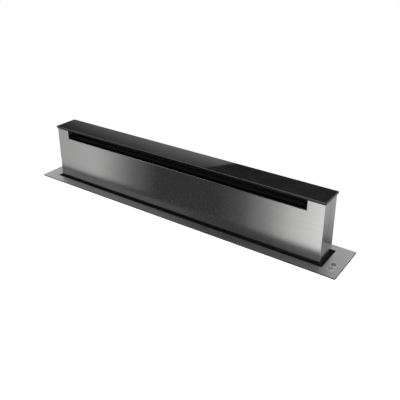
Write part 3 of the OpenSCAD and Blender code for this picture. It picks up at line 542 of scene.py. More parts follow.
def circuit(name, rgb):
    """Solder mask with tracks under it and pale pads."""
    def build(tree):
        place = place_of(tree)
        tracks = wire(tree, "ShaderNodeTexBrick", {"Vector": scaled(tree, place, (180.0, 1.0, 180.0)),
                                                   "Scale": 1.0, "Mortar Size": 0.07})
        line = tracks.outputs["Fac"]
        board = blended(tree, line, solid(rgb), shade(rgb, 1.9))
        pads = wire(tree, "ShaderNodeTexVoronoi", {"Vector": place, "Scale": 230.0})
        dots = spread(tree, pads.outputs["Distance"], 0.14, 0.1)
        return {"Base Color": blended(tree, dots, board, solid((0.55, 0.53, 0.45))),
                "Roughness": spread(tree, dots, 0.0, 1.0, 0.28, 0.45),
                "Normal": bumped(tree, line, 0.05 * MM, 0.6)}
    finish(name, build)


def make_finishes(scene):
    trim, column, cap = scene.vent_trim, scene.vent_column, scene.vent_cap
    intake, buttons, housing = scene.vent_intake, scene.vent_buttons, scene.vent_housing
    lift, blower, control = scene.vent_lift, scene.vent_blower, scene.vent_control
    # The trim's cut edges and the column's end seams get painted shade, near black
    brushed_steel("brushed_trim", trim.steel, trim.roughness, upright_ends=False, anisotropy=0.65,
                  painted_shade=shaded_cut_edge)
    brushed_steel("brushed_column", column.steel, column.roughness, painted_shade=shaded_seam)
    black_glass("black_glass", cap.glass)
    coated("black_paint", intake.paint, 0.6, 0.5 * MM, 0.02 * MM, dust=0.004, Specular_IOR_Level=0.2)
    coated("liner_paint", intake.liner, 0.6, 0.5 * MM, 0.02 * MM, dust=0.004, Specular_IOR_Level=0.3)
    coated("black_plastic", (0.014, 0.014, 0.014), 0.5, 0.8 * MM, 0.04 * MM, dust=0.04)
    felt("felt", trim.felt)
    coated("foam", (0.012, 0.012, 0.012), 0.9, 0.7 * MM, 0.2 * MM, dust=0.05)
    galvanised("galvanised", housing.zinc, housing.spangle)
    bare_metal("fastener_steel", (0.55, 0.55, 0.53), 0.28, wear=0.2)
    bare_metal("aluminium", lift.aluminium, 0.34, grain=0.2)
    coated("belt_rubber", (0.02, 0.02, 0.02), 0.7, 0.4 * MM, 0.04 * MM, dust=0.08)
    bare_metal("shaft_steel", (0.6, 0.6, 0.6), 0.16, grain=0.1)
    bare_metal("cast_zinc", (0.42, 0.43, 0.44), 0.5, grain=0.9, skin=1.2 * MM)
    coated("motor_paint", blower.motor, 0.35, 0.7 * MM, 0.03 * MM, wear=0.5, under=(0.4, 0.4, 0.4))
    coated("wheel_plastic", (0.03, 0.03, 0.033), 0.45, 0.8 * MM, 0.02 * MM, dust=0.15)
    coated("shoe_plastic", (0.72, 0.71, 0.66), 0.4, 0.9 * MM, 0.02 * MM, dust=0.1)
    coated("box_plastic", control.plastic, 0.5, 0.9 * MM, 0.06 * MM, dust=0.15)
    circuit("circuit_board", control.board)
    coated("lead_sheath", (0.02, 0.02, 0.02), 0.42, 0.5 * MM, 0.02 * MM)
    brushed_steel("bezel_steel", buttons.ring, 0.3, upright_ends=False, metal=0.5)
    brushed_steel("button_dark", buttons.raise_face, 0.3, upright_ends=False, metal=0.7)
    brushed_steel("button_light", buttons.fan_face, 0.3, upright_ends=False, metal=0.7)


# Making pieces

def clean_copy(node):
    """A node's solids as one mesh, with triangles joined and flat faces whole."""
    shape = bmesh.new()
    shape.from_mesh(frame["nodes"][node].data)
    bmesh.ops.remove_doubles(shape, verts=shape.verts, dist=WELD)
    bmesh.ops.dissolve_limit(shape, angle_limit=FLAT, verts=shape.verts, edges=shape.edges)
    return shape


def lay_grain(mesh, *middles):
    """Lays a UV map whose first axis runs across the brushing.

    Flat pieces are brushed along X, and upright on their ends. With middles given, the
    brushing runs round an upright axis at the nearest of them."""
    grain = mesh.uv_layers.new(name="Grain")
    for face in mesh.polygons:
        turn = face.normal
        for loop in face.loop_indices:
            spot = mesh.vertices[mesh.loops[loop].vertex_index].co
            if middles:
                out = min((spot - middle for middle in middles), key=lambda way: way.xy.length)
                across = (math.hypot(out.x, out.y) * RADIAL + out.z, math.atan2(out.y, out.x))
            elif abs(turn.x) > MOSTLY:
                across = (spot.y, spot.z)
            elif abs(turn.y) > MOSTLY:
                across = (spot.z, spot.x)
            else:
                across = (spot.y, spot.x)
            grain.uv[loop].vector = across


def new_object(name, data):
    made = bpy.data.objects.new(name, data)
    bpy.context.scene.collection.objects.link(made)
    return made


def piece(name, mesh, node, finish_name=None):
    """An object for a finished mesh. It rides with the node it stands for."""
    made = new_object(name, mesh)
    mesh.materials.clear()
    mesh.materials.append(FINISHES[finish_name or SLOT_OF[node]])
    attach(made, BODY_OF[node])
    return made


def stand_in(name, mesh, node, finish_name=None):
    """The piece that a mesh makes, shown instead of a node."""
    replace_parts(piece(name, mesh, node, finish_name), node)


def mesh_of(name, shape):
    """A mesh of a shape. The shape itself goes."""
    mesh = bpy.data.meshes.new(name)
    shape.to_mesh(mesh)
    shape.free()
    return mesh


def whole(name, *shapes, sharp=SHARP):
    """One mesh of several closed shapes, smooth but for its sharp edges."""
    all_of = bmesh.new()
    for shape in shapes:
        part = mesh_of(name, shape)
        all_of.from_mesh(part)
        bpy.data.meshes.remove(part)
    mesh = mesh_of(name, all_of)
    mesh.shade_smooth()
    mesh.set_sharp_from_angle(angle=sharp)
    return mesh


def rebuilt(node, part, *shapes, sharp=SHARP):
    """Shows closed shapes instead of a node, as one piece called by the node and the part."""
    name = node + "." + part
    stand_in(name, whole(name, *shapes, sharp=sharp), node)


def as_mesh(made, name):
    """The object's mesh with its modifiers applied. The object itself goes."""
    bpy.context.view_layer.update()
    graph = bpy.context.evaluated_depsgraph_get()
    mesh = bpy.data.meshes.new_from_object(made.evaluated_get(graph), preserve_all_data_layers=True,
                                           depsgraph=graph)
    mesh.name = name
    bpy.data.objects.remove(made)
    return mesh


def edged(shape, name, edge, fold=0.0, fold_of=None, steps=2):
    """Rounds the sharp edges of a mesh, wider where fold_of gives an edge more, up to fold."""
    if fold:
        weights = shape.edges.layers.float.new("bevel_weight_edge")
        for side in shape.edges:
            if len(side.link_faces) == 2 and side.calc_face_angle(0.0) > SHARP:
                side[weights] = max(fold_of(side), edge) / fold
    mesh = mesh_of(name, shape)
    mesh.shade_smooth()
    made = new_object(name, mesh)
    rounding = made.modifiers.new("Edge", "BEVEL")
    rounding.width = fold or edge
    rounding.limit_method = "WEIGHT" if fold else "ANGLE"
    rounding.angle_limit = SHARP
    rounding.segments = steps
    rounding.use_clamp_overlap = True
    return settled(as_mesh(made, name))


def settled(mesh):
    """Shades curves smooth, and keeps a wide flat face true where it meets a narrow one."""
    mesh.shade_smooth()
    shape = bmesh.new()
    shape.from_mesh(mesh)
    for side in shape.edges:
        if len(side.link_faces) == 2:
            turn = side.calc_face_angle(0.0)
            narrow, wide = sorted(face.calc_area() for face in side.link_faces)
            side.smooth = turn < CREASE and not (turn > SLIGHT and wide > WIDER * narrow)
    shape.to_mesh(mesh)
    shape.free()
    return mesh


def dressed(node, edge, grain=False, finish_name=None, **folds):
    """Shows a copy with rounded edges instead of a node."""
    name = node + ".dressed"
    mesh = edged(clean_copy(node), name, edge, **folds)
    if grain:
        lay_grain(mesh)
    stand_in(name, mesh, node, finish_name)


def turned(profile, steps, place=(0, 0, 0), axis="Z"):
    """A closed shape turned from (radius, height) points, outside first, about an axis at place."""
    shape = bmesh.new()
    rings = []
    for radius, height in profile:
        if radius < WELD:
            rings.append([shape.verts.new((0, 0, height))])
        else:
            rings.append([shape.verts.new((radius * math.cos(math.tau * k / steps),
                                           radius * math.sin(math.tau * k / steps), height))
                          for k in range(steps)])
    for first, second in zip(rings, rings[1:] + rings[:1]):
        for k in range(steps):
            corners = [first[k % len(first)], first[(k + 1) % len(first)],
                       second[(k + 1) % len(second)], second[k % len(second)]]
            corners = list(dict.fromkeys(corners))
            if len(corners) > 2:
                shape.faces.new(corners)
    bmesh.ops.recalc_face_normals(shape, faces=shape.faces)
    shape.transform(Matrix.Translation(place) @ LAY[axis])
    return shape


def lofted(sections, closed=False):
    """A closed shape through sections of equally many points, joined end to end or capped."""
    shape = bmesh.new()
    rings = [[shape.verts.new(point) for point in section] for section in sections]
    for first, second in zip(rings, rings[1:] + (rings[:1] if closed else [])):
        for k in range(len(first)):
            j = (k + 1) % len(first)
            shape.faces.new((first[k], first[j], second[j], second[k]))
    if not closed:
        shape.faces.new(rings[0])
        shape.faces.new(rings[-1])
    bmesh.ops.recalc_face_normals(shape, faces=shape.faces)
    return shape


def ends_of(points):
    """The lowest and highest corners of some points."""
    return (Vector([min(point[k] for point in points) for k in range(3)]),
            Vector([max(point[k] for point in points) for k in range(3)]))


def middle_of(node):
    low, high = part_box(node)
    return (low + high) / 2


# Geometry Nodes

def tree_of(name, *labels):
    """A Geometry Nodes tree with a geometry input and output and named sizes."""
    tree = bpy.data.node_groups.new(name, "GeometryNodeTree")
    tree.interface.new_socket("Geometry", in_out="INPUT", socket_type="NodeSocketGeometry")
    for label in labels:
        tree.interface.new_socket(label, in_out="INPUT", socket_type="NodeSocketFloat")
    tree.interface.new_socket("Finish", in_out="INPUT", socket_type="NodeSocketMaterial")
    tree.interface.new_socket("Geometry", in_out="OUTPUT", socket_type="NodeSocketGeometry")
    return tree, tree.nodes.new("NodeGroupInput").outputs


def close_tree(tree, given, geometry):
    """Ends a tree in Realize Instances and Set Material."""
    real = flow(tree, "GeometryNodeRealizeInstances", {0: geometry})
    painted = flow(tree, "GeometryNodeSetMaterial", {"Geometry": real, "Material": given["Finish"]})
    tree.links.new(painted, tree.nodes.new("NodeGroupOutput").inputs[0])


def grown(tree, name, base, node, values):
    """Runs a tree on a mesh and gives the plain mesh that comes out."""
    made = new_object(name, base)
    modifier = made.modifiers.new(name, "NODES")
    modifier.node_group = tree
    values = {**values, "Finish": FINISHES[SLOT_OF[node]]}
    for item in tree.interface.items_tree:
        if item.in_out == "INPUT" and item.name in values:
            modifier[item.identifier] = values[item.name]
    return as_mesh(made, name)


def perforation_tree():
    """A flat sheet of six-sided openings: a grid of triangles turned into cells, each cell holed."""
    tree, given = tree_of("Filter mesh", "Length", "Width", "Pitch", "Opening")
    grid = wire(tree, "GeometryNodeMeshGrid", {
        "Size X": given["Length"], "Size Y": given["Width"],
        "Vertices X": calc(tree, "DIVIDE", given["Length"], given["Pitch"]),
        "Vertices Y": calc(tree, "DIVIDE", given["Width"], given["Pitch"])}).outputs["Mesh"]
    cells = flow(tree, "GeometryNodeDualMesh", {0: flow(tree, "GeometryNodeTriangulate", {0: grid})})
    raised = wire(tree, "GeometryNodeExtrudeMesh", {"Mesh": cells, "Offset Scale": 0.0,
                                                    "Individual": True}).outputs
    smaller = flow(tree, "GeometryNodeScaleElements", {
        "Geometry": raised["Mesh"], "Selection": raised["Top"], "Scale": given["Opening"]})
    holed = flow(tree, "GeometryNodeDeleteGeometry", {"Geometry": smaller, "Selection": raised["Top"]},
                 domain="FACE")
    close_tree(tree, given, holed)
    return tree


def repeated(tree, source, points, rotation, **values):
    """A copy of an object on each point."""
    what = wire(tree, "GeometryNodeObjectInfo", {"Object": source}).outputs["Geometry"]
    return flow(tree, "GeometryNodeInstanceOnPoints", {"Points": points, "Instance": what,
                                                       "Rotation": rotation, **values})


def along_tree(source):
    """Places a copy of a small piece at even steps along a closed path in the YZ plane."""
    tree, given = tree_of("Along " + source.name, "Pitch")
    path = flow(tree, "GeometryNodeMeshToCurve", {"Mesh": given["Geometry"]})
    steps = flow(tree, "GeometryNodeResampleCurve", {"Curve": path, "Length": given["Pitch"]},
                 mode="LENGTH")
    way = tree.nodes.new("GeometryNodeInputTangent").outputs[0]
    face = flow(tree, "FunctionNodeAlignRotationToVector", {"Vector": way}, axis="Z", pivot_axis="X")
    close_tree(tree, given, repeated(tree, source, steps, face))
    return tree


def seat_tree(source):
    """Places a copy of a small piece on each point, its Z on the point's way and its X along."""
    tree, given = tree_of("Seated " + source.name, "Size")
    way, along = (flow(tree, "GeometryNodeInputNamedAttribute", {"Name": label},
                       data_type="FLOAT_VECTOR") for label in ("way", "along"))
    stood = flow(tree, "FunctionNodeAlignRotationToVector", {"Vector": way}, axis="Z")
    faced = flow(tree, "FunctionNodeAlignRotationToVector", {"Rotation": stood, "Vector": along},
                 axis="X", pivot_axis="Z")
    close_tree(tree, given, repeated(tree, source, given["Geometry"], faced, Scale=given["Size"]))
    return tree


def sample_piece(name, shape):
    """A small piece for a tree to repeat."""
    return new_object(name + ".one", whole(name + ".one", shape))


def seated(name, shape, seats, node):
    """Repeats a small piece over seats: a place, the way its Z points, and the way its X points."""
    source = sample_piece(name, shape)
    points = bpy.data.meshes.new(name + ".seats")
    points.from_pydata([seat[0] for seat in seats], [], [])
    for part, label in ((1, "way"), (2, "along")):
        ways = points.attributes.new(label, "FLOAT_VECTOR", "POINT")
        for item, seat in zip(ways.data, seats):
            item.vector = seat[part]
    result = grown(seat_tree(source), name, points, node, {"Size": 1.0})
    bpy.data.objects.remove(source)
    for spare in ("way", "along"):
        if spare in result.attributes:
            result.attributes.remove(result.attributes[spare])
    return piece(name, result, node)


# Solids of a node, and where its fasteners sit

def solids_of(node):
    """The points of each separate solid of a node."""
    shape = clean_copy(node)
    seen, found = set(), []
    for start in shape.verts:
        if start in seen:
            continue
        seen.add(start)
        reached, points = [start], []
        while reached:
            vert = reached.pop()
            points.append(vert.co.copy())
            for side in vert.link_edges:
                other = side.other_vert(vert)
                if other not in seen:
                    seen.add(other)
                    reached.append(other)
        found.append(points)
    shape.free()
    return found


def seats_of(node, head):
    """Where each fastener of a node sits: under its head, the head's way, and a way across it.

    Its axis is the one along which its size differs most from the other two, and its head is
    the end where its widest points lie."""
    seats = []
    for points in solids_of(node):
        low, high = ends_of(points)
        size, middle = high - low, (low + high) / 2
        axis = max(range(3), key=lambda k: abs(1.5 * size[k] - 0.5 * sum(size)))
        out = [Vector([0 if k == axis else point[k] - middle[k] for k in range(3)]).length
               for point in points]
        rim = [point[axis] for point, far in zip(points, out) if far > 0.9 * max(out)]
        way = Vector([float(k == axis) for k in range(3)])
        if sum(rim) / len(rim) < middle[axis] - WELD:
            way.negate()
        across = Vector((0, 0, 1)) if axis == 0 else Vector((1, 0, 0))
        seats.append((middle + way * (size[axis] / 2 - head), way, across))
    return seats


def fasten(node, shape, head):
    """Shows a detailed fastener, with a head of that height, at each of a node's fasteners."""
    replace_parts(seated(node + ".seated", shape, seats_of(node, head), node), node)


# Fasteners

def thread(radius, low, high, pitch):
    """Points up the side of a threaded rod."""
    count = max(1, round((high - low) / pitch))
    rise = (high - low) / count
    points = []
    for k in range(count):
        points += [(radius * ROOT, low + k * rise), (radius, low + (k + 0.5) * rise)]
    return points + [(radius * ROOT, high)]


def hexed(shape, radius):
    """Moves the round walls of that radius onto a hexagon with a corner on X."""
    side, half = math.radians(60), math.radians(30)
    for vert in shape.verts:
        if vert.co.xy.length > (radius + radius * ROOT) / 2:
            turn = math.atan2(vert.co.y, vert.co.x) % side
            vert.co.xy *= math.cos(half) / math.cos(turn - half)
    return shape


def cross_screw(radius, height, shank_radius, shank, steps):
    """A pan-head screw along +Z, its head seated on zero, with a cross recess."""
    point, pitch, brim, waist = 0.4 * MM, 1.0 * MM, 0.35, 0.5
    dome = [(radius * math.cos(angle), height * (brim + (1 - brim) * math.sin(angle)))
            for angle in [math.radians(a) for a in (0, 25, 50, 70)]]
    recess, recess_side, recess_floor = radius * 0.5, height * 0.45, height * 0.4
    profile = [(0, -shank), (shank_radius * 0.6, -shank), *thread(shank_radius, point - shank, 0, pitch),
               (radius, 0), *dome, (recess, height), (recess * waist, recess_side), (0, recess_floor)]
    shape = turned(profile, steps)
    for vert in shape.verts:
        above_floor = vert.co.z > (recess_side + recess_floor) / 2
        if above_floor and recess * waist * 0.8 < vert.co.xy.length < recess * 1.01:
            turn = math.atan2(vert.co.y, vert.co.x)
            vert.co.xy *= waist + (1 - waist) * abs(math.cos(2 * turn)) ** 3
    return shape


def hex_bolt(radius, height, shank_radius, shank, steps):
    """A hexagon bolt along +Z, its head seated on zero, chamfered on top."""
    point, pitch, foot, top = 0.2 * MM, 0.8 * MM, height * 0.08, height * 0.86
    profile = [(0, -shank), *thread(shank_radius, point - shank, 0, pitch), (radius * ROOT, 0),
               (radius, foot), (radius, top), (radius * ROOT, height), (0, height)]
    return hexed(turned(profile, steps), radius)


def hex_nut(radius, height, bore, steps):
    """A hexagon nut standing on zero, chamfered on both faces."""
    edge = height * 0.12
    profile = [(bore, 0), (radius * ROOT, 0), (radius, edge), (radius, height - edge),
               (radius * ROOT, height), (bore, height)]
    return hexed(turned(profile, steps), radius)


def stud(radius, size, steps):
    """A threaded stud whose top is at zero."""
    point, pitch = 0.2 * MM, 0.7 * MM
    return turned([(0, -size), *thread(radius, point - size, 0, pitch), (0, 0)], steps)


# Trim and well

def dress_trim(scene):
    settings = scene.vent_trim
    dressed("worktop_trim", settings.edge, grain=True)
    spread_gasket(settings.squeeze)
    dressed("well_liner", PLAIN_EDGE)
    dressed("well_seal", SEAL_EDGE, steps=3)
    steps, nut_height = scene.vent_housing.screw_steps, 3.2 * MM
    fasten("trim_studs", stud(radius=2 * MM, size=9 * MM, steps=steps), 0)
    fasten("trim_nuts", hex_nut(radius=4.04 * MM, height=nut_height, bore=2.05 * MM, steps=steps),
           nut_height)


def spread_gasket(squeeze):
    """The foam gasket, squeezed out by the trim until it shows as a dark line under its edge."""
    node, name, near = "trim_gasket", "trim_gasket.squeezed", 5 * MM
    shape = clean_copy(node)
    low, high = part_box(node)
    for vert in shape.verts:
        for k in (0, 1):
            if min(vert.co[k] - low[k], high[k] - vert.co[k]) < near:
                vert.co[k] += math.copysign(squeeze, vert.co[k])
    stand_in(name, edged(shape, name, SHEET_EDGE), node)


# Column

def dress_column(scene):
    settings = scene.vent_column
    touch, tall, seam_near = 0.01 * MM, 50 * MM, 20 * MM
    ledge = column_high.z - settings.slot

    def fold_of(side):
        ends = [vert.co for vert in side.verts]
        upright = abs(ends[0].z - ends[1].z) > tall
        if upright and all(abs(spot.x) > column_high.x - touch for spot in ends):
            at_seam = all(abs(spot.y - SEAM_AT) < seam_near for spot in ends)
            return settings.seam if at_seam else settings.fold
        front = all(spot.y < column_low.y + touch for spot in ends)
        at_ledge = front and all(abs(spot.z - ledge) < 0.05 * MM for spot in ends)
        return settings.lip if at_ledge else 0.0

    widest = max(settings.fold, settings.lip)
    for node in ("riser_front", "riser_rear"):
        dressed(node, settings.edge, grain=True, fold=widest, fold_of=fold_of, steps=4)
    for node in ("riser_end_frame_left", "riser_end_frame_right"):
        dressed(node, SHEET_EDGE)


# Glass lid and tray

def dress_cap(scene):
    dressed("cap_glass", scene.vent_cap.bevel, steps=1)
    dressed("cap_tray", PLAIN_EDGE)


# Slot, liner and filters

def dress_intake(scene):
    dressed("intake_liner", SHEET_EDGE, finish_name="liner_paint")
    for node in ("filter_left", "filter_right"):
        dress_filter(node, scene.vent_intake)


def dress_filter(node, settings):
    """A filter cassette: a rim round two layers of open mesh, lying on the cassette's slope."""
    shape = clean_copy(node)
    flat = max(shape.faces, key=lambda face: face.calc_area())
    out = flat.normal.copy()
    out *= math.copysign(1, out.z)
    across = Vector((1, 0, 0))
    up = out.cross(across)
    reach = []
    for way in (across, up, out):
        places = [vert.co.dot(way) for vert in shape.verts]
        reach.append(max(places) - min(places))
    shape.free()
    lay = Matrix.Translation(middle_of(node)) @ Matrix((across, up, out)).transposed().to_4x4()
    rim, overlap, apart, thick = 6 * MM, 4 * MM, 0.9 * MM, 0.9 * MM

    sections = [[(u * (reach[0] / 2 - inset), v * (reach[1] / 2 - inset), side * reach[2] / 2)
                 for u, v in ((-1, -1), (1, -1), (1, 1), (-1, 1))]
                for inset, side in ((0, -1), (0, 1), (rim, 1), (rim, -1))]
    border = lofted(sections, closed=True)
    border.transform(lay)
    stand_in(node + ".frame", edged(border, node + ".frame", CAST_EDGE), node)

    inside = [side - 2 * rim + 2 * overlap for side in reach]
    sheet = grown(perforation_tree(), node + ".sheet", bpy.data.meshes.new(node + ".sheet"), node,
                  {"Length": inside[0], "Width": inside[1], "Pitch": settings.pitch,
                   "Opening": settings.opening})
    layers = bmesh.new()
    flip = Matrix.Rotation(math.radians(180), 4, "Y")
    for turn, rise in ((Matrix.Identity(4), apart), (flip, -apart)):
        layer = sheet.copy()
        layer.transform(lay @ Matrix.Translation((0, 0, rise)) @ turn)
        layers.from_mesh(layer)
        bpy.data.meshes.remove(layer)
    name = node + ".mesh"
    thin = new_object(name, mesh_of(name, layers))
    wall = thin.modifiers.new("Wall", "SOLIDIFY")
    wall.thickness = thick
    wall.offset = 0
    piece(name, as_mesh(thin, name), node)


# Buttons

def dress_buttons():
    caps = {"raise_button": "button_dark", "fan_button": "button_light"}
    for node, finish_name in caps.items():
        mesh = whole(node + ".cap", button_cap(node), sharp=SHARP_CAP)
        lay_grain(mesh, middle_of(node))
        stand_in(node + ".cap", mesh, node, finish_name)
    name = "button_bezels.rings"
    mesh = whole(name, *map(button_ring, caps), sharp=SHARP_CAP)
    lay_grain(mesh, *map(middle_of, caps))
    stand_in(name, mesh, "button_bezels", "bezel_steel")
    dressed("button_switches", SMALL_EDGE)


def button_cap(node):
    """A button's stem and its cap, with a shallow dish in its face."""
    low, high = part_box(node)
    middle, radius, top = (low + high) / 2, (high.x - low.x) / 2, high.z
    stem, cap, dip = 2 * MM, top - 6 * MM, 0.6 * MM
    bevel, lip, lip_bow = 0.3 * MM, 0.5 * MM, 0.15 * MM
    dish = [(radius * part, top - dip * (1 - part * part)) for part in (0.8, 0.6, 0.4, 0.2)]
    profile = [(0, low.z), (stem, low.z), (stem, cap), (radius - bevel, cap), (radius, cap + bevel),
               (radius, top - lip), (radius - lip_bow, top - lip_bow), (radius - lip, top), *dish,
               (0, top - dip)]
    return turned(profile, 48, (middle.x, middle.y, 0))


def button_ring(node):
    """The ring round a button, on the trim, with its neck through the trim."""
    low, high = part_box(node)
    neck_foot, top = (corner.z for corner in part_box("button_bezels"))
    play, bow, rise = 0.15 * MM, 0.2 * MM, 0.5 * MM
    middle, inner, foot = (low + high) / 2, (high.x - low.x) / 2 + play, trim_high.z
    neck, outer = inner + 1 * MM, inner + 2 * MM
    crown = (inner + 0.6 * MM, outer - 0.7 * MM)
    profile = [(inner, neck_foot), (neck, neck_foot), (neck, foot), (outer, foot), (outer, foot + rise),
               (outer - 0.25 * MM, top - bow), (crown[1], top), (crown[0], top),
               (inner + 0.15 * MM, top - bow), (inner, top - rise)]
    return turned(profile, 64, (middle.x, middle.y, 0))


# Housing

def dress_housing(scene):
    settings = scene.vent_housing
    for node in ("case_front", "case_rear", "case_end_left", "case_end_right", "case_floor",
                 "mounting_brackets"):
        dressed(node, settings.edge)
    steps, screw_head, bolt_head = settings.screw_steps, 2 * MM, 3.5 * MM
    screw = cross_screw(radius=3.5 * MM, height=screw_head, shank_radius=2 * MM, shank=6 * MM, steps=steps)
    bolt = hex_bolt(radius=4.6 * MM, height=bolt_head, shank_radius=2.5 * MM, shank=8 * MM, steps=steps)
    fasten("case_screws", screw, screw_head)
    fasten("bracket_bolts", bolt, bolt_head)


# Lift

def dress_lift(scene):
    settings = scene.vent_lift
    for node in ("lift_bracket_left", "lift_bracket_right", "idler_bracket_left", "idler_bracket_right",
                 "guide_rails", "shaft_bearings", "slide_shoes", "belt_clamps", "limit_switches"):
        dressed(node, PLAIN_EDGE)
    dressed("gearbox", CAST_EDGE, steps=3)
    for node in ("belt_left", "belt_right"):
        dress_belt(node, settings)
    idler_bore, drive_bore = 3.05 * MM, 5.05 * MM
    for node, bore in (("idler_pulley_left", idler_bore), ("idler_pulley_right", idler_bore),
                       ("drive_pulleys", drive_bore)):
        rebuilt(node, "toothed", *(shape for points in solids_of(node)
                                   for shape in pulley(points, bore, settings.pulley_teeth)))
    dress_shaft()
    dress_lift_motor()


def belt_rounds(node, radius, steps=24):
    """The closed path round both pulleys, at a radius from their axes, and its outward ways."""
    low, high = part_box(node)
    reach = (high.y - low.y) / 2
    middle = (low + high) / 2
    rounds = []
    for centre, start in ((high.z - reach, 0), (low.z + reach, 180)):
        for step in range(steps + 1):
            turn = math.radians(start + 180 * step / steps)
            out = Vector((0, math.cos(turn), math.sin(turn)))
            rounds.append((Vector((middle.x, middle.y, centre)) + out * radius, out))
    return rounds


def dress_belt(node, settings):
    """A flat band with rounded edges, and teeth along its inner face."""
    low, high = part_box(node)
    reach, half, edge = (high.y - low.y) / 2, (high.x - low.x) / 2, 0.3 * MM
    deep = settings.tooth_depth
    back = 2.0 * MM - deep
    section = [(-half, -back + edge), (-half + edge, -back), (half - edge, -back), (half, -back + edge),
               (half, -edge), (half - edge, 0), (-half + edge, 0), (-half, -edge)]
    rebuilt(node, "band", lofted([[spot + out * rise + Vector((x, 0, 0)) for x, rise in section]
                                  for spot, out in belt_rounds(node, reach)], closed=True))

    sunk, root, tip = 0.05 * MM, 0.9 * MM, 0.55 * MM
    corners = [(sunk, root), (-deep, tip), (-deep, -tip), (sunk, -root)]
    tooth = lofted([[(x, y, z) for y, z in corners] for x in (edge - half, half - edge)])
    source = sample_piece(node + ".tooth", tooth)
    inner = [spot for spot, out in belt_rounds(node, reach - back)]
    path = bpy.data.meshes.new(node + ".path")
    path.from_pydata(inner, [(k, (k + 1) % len(inner)) for k in range(len(inner))], [])
    teeth = grown(along_tree(source), node + ".teeth", path, node, {"Pitch": settings.tooth_pitch})
    bpy.data.objects.remove(source)
    piece(node + ".teeth", teeth, node)


def pulley(points, bore, teeth):
    """A flanged pulley with shallow grooves, in the place of a pulley's points."""
    low, high = ends_of(points)
    middle, radius, wide = (low + high) / 2, (high.y - low.y) / 2, high.x - low.x
    flange, land, groove, edge = 1.4 * MM, radius - 4.3 * MM, 0.7 * MM, 0.4 * MM
    place = (low.x, middle.y, middle.z)
    core = turned([(bore, flange / 2), (land, flange / 2), (land, wide - flange / 2),
                   (bore, wide - flange / 2)], 4 * teeth)
    for vert in core.verts:
        if vert.co.xy.length > land * 0.9:
            step = round(math.atan2(vert.co.y, vert.co.x) / math.tau * 4 * teeth)
            if step % 4 in (0, 3):
                vert.co.xy *= (land - groove) / land
    core.transform(Matrix.Translation(place) @ LAY["X"])
    rim = [(bore, 0), (radius - edge, 0), (radius, edge), (radius, flange - edge),
           (radius - edge, flange), (bore, flange)]
    return [core, *(turned([(out, start + up) for out, up in rim], 48, place, "X")
                    for start in (0, wide - flange))]


def dress_shaft():
    """The cross shaft, with chamfered ends and a groove for a clip inside each pulley."""
    low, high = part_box("cross_shaft")
    middle, radius, size = (low + high) / 2, (high.y - low.y) / 2, high.x - low.x
    edge, clip, apart, neck = 0.6 * MM, 1 * MM, 2 * MM, radius - 0.5 * MM
    pulley_in = high.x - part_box("idler_pulley_right")[0].x
    profile = [(0, 0), (radius - edge, 0), (radius, edge)]
    for at in (pulley_in + apart, size - pulley_in - apart - clip):
        profile += [(radius, at), (neck, at), (neck, at + clip), (radius, at + clip)]
    profile += [(radius, size - edge), (radius - edge, size), (0, size)]
    rebuilt("cross_shaft", "turned", turned(profile, 40, (low.x, middle.y, middle.z), "X"))


def ribs(node, place, radius, rise, first, last, count, axis):
    """Cooling ribs round a motor's body, each lying along its axis from first to last."""
    foot, top, sink, size = 0.9 * MM, 0.5 * MM, 0.2 * MM, last - first
    corners = [(-foot, -sink), (foot, -sink), (top, rise), (-top, rise)]
    rib = lofted([[(x, y, z) for y, z in corners] for x in (-size / 2, size / 2)])
    lying = axis == "Y"
    along = Vector((0, -1, 0)) if lying else Vector((0, 0, 1))
    seats = []
    for k in range(count):
        turn = math.tau * (k + 0.5) / count
        one, other = math.cos(turn), math.sin(turn)
        out = Vector((one, 0, other) if lying else (one, other, 0))
        seats.append((Vector(place) + out * radius + along * (first + size / 2), out, along))
    seated(node + ".ribs", rib, seats, node)


def dress_lift_motor():
    """The lift's motor: a ribbed can with a stepped cap at its foot."""
    node = "lift_motor"
    low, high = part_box(node)
    middle, radius, tall = (low + high) / 2, (high.x - low.x) / 2, high.z - low.z
    can, cap, cap_radius, edge = radius - 0.9 * MM, 6 * MM, 14 * MM, 1.5 * MM
    bevel, groove, groove_at, flange_at = 1 * MM, 0.6 * MM, cap + 9 * MM, tall - 9 * MM
    place = (middle.x, middle.y, low.z)
    profile = [(0, 0), (cap_radius - edge, 0), (cap_radius, edge), (cap_radius, cap), (can - bevel, cap),
               (can, cap + bevel), (can, groove_at), (can - groove, groove_at + bevel / 2),
               (can, groove_at + bevel), (can, flange_at - bevel), (radius, flange_at), (radius, tall),
               (0, tall)]
    rebuilt(node, "can", turned(profile, 64, place))
    ribs(node, place, can, rise=0.8 * MM, first=cap + 14 * MM, last=tall - 16 * MM, count=24, axis="Z")


# Blower

def dress_blower(scene):
    settings = scene.vent_blower
    for node in ("blower_backplate", "blower_scroll", "blower_cover", "outlet_collar", "damper_flap_front",
                 "damper_flap_rear"):
        dressed(node, SHEET_EDGE)
    dressed("damper_pin", SMALL_EDGE)
    dress_bead(settings.bead)
    dress_wheel(settings.blades)
    dress_blower_motor()


def dress_bead(rise):
    """The rolled bead that keeps a hose on the outlet collar."""
    pin, at = middle_of("damper_pin"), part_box("outlet_collar")[1].x - 12 * MM
    radius, half, sunk = 74.5 * MM, 2 * MM, 0.4 * MM
    bow = [(radius - sunk, -half), (radius, -half), (radius + rise * 0.7, -half * 0.55), (radius + rise, 0),
           (radius + rise * 0.7, half * 0.55), (radius, half), (radius - sunk, half)]
    name = "outlet_collar.bead"
    piece(name, whole(name, turned(bow, 96, (at, pin.y, pin.z), "X")), "outlet_collar")


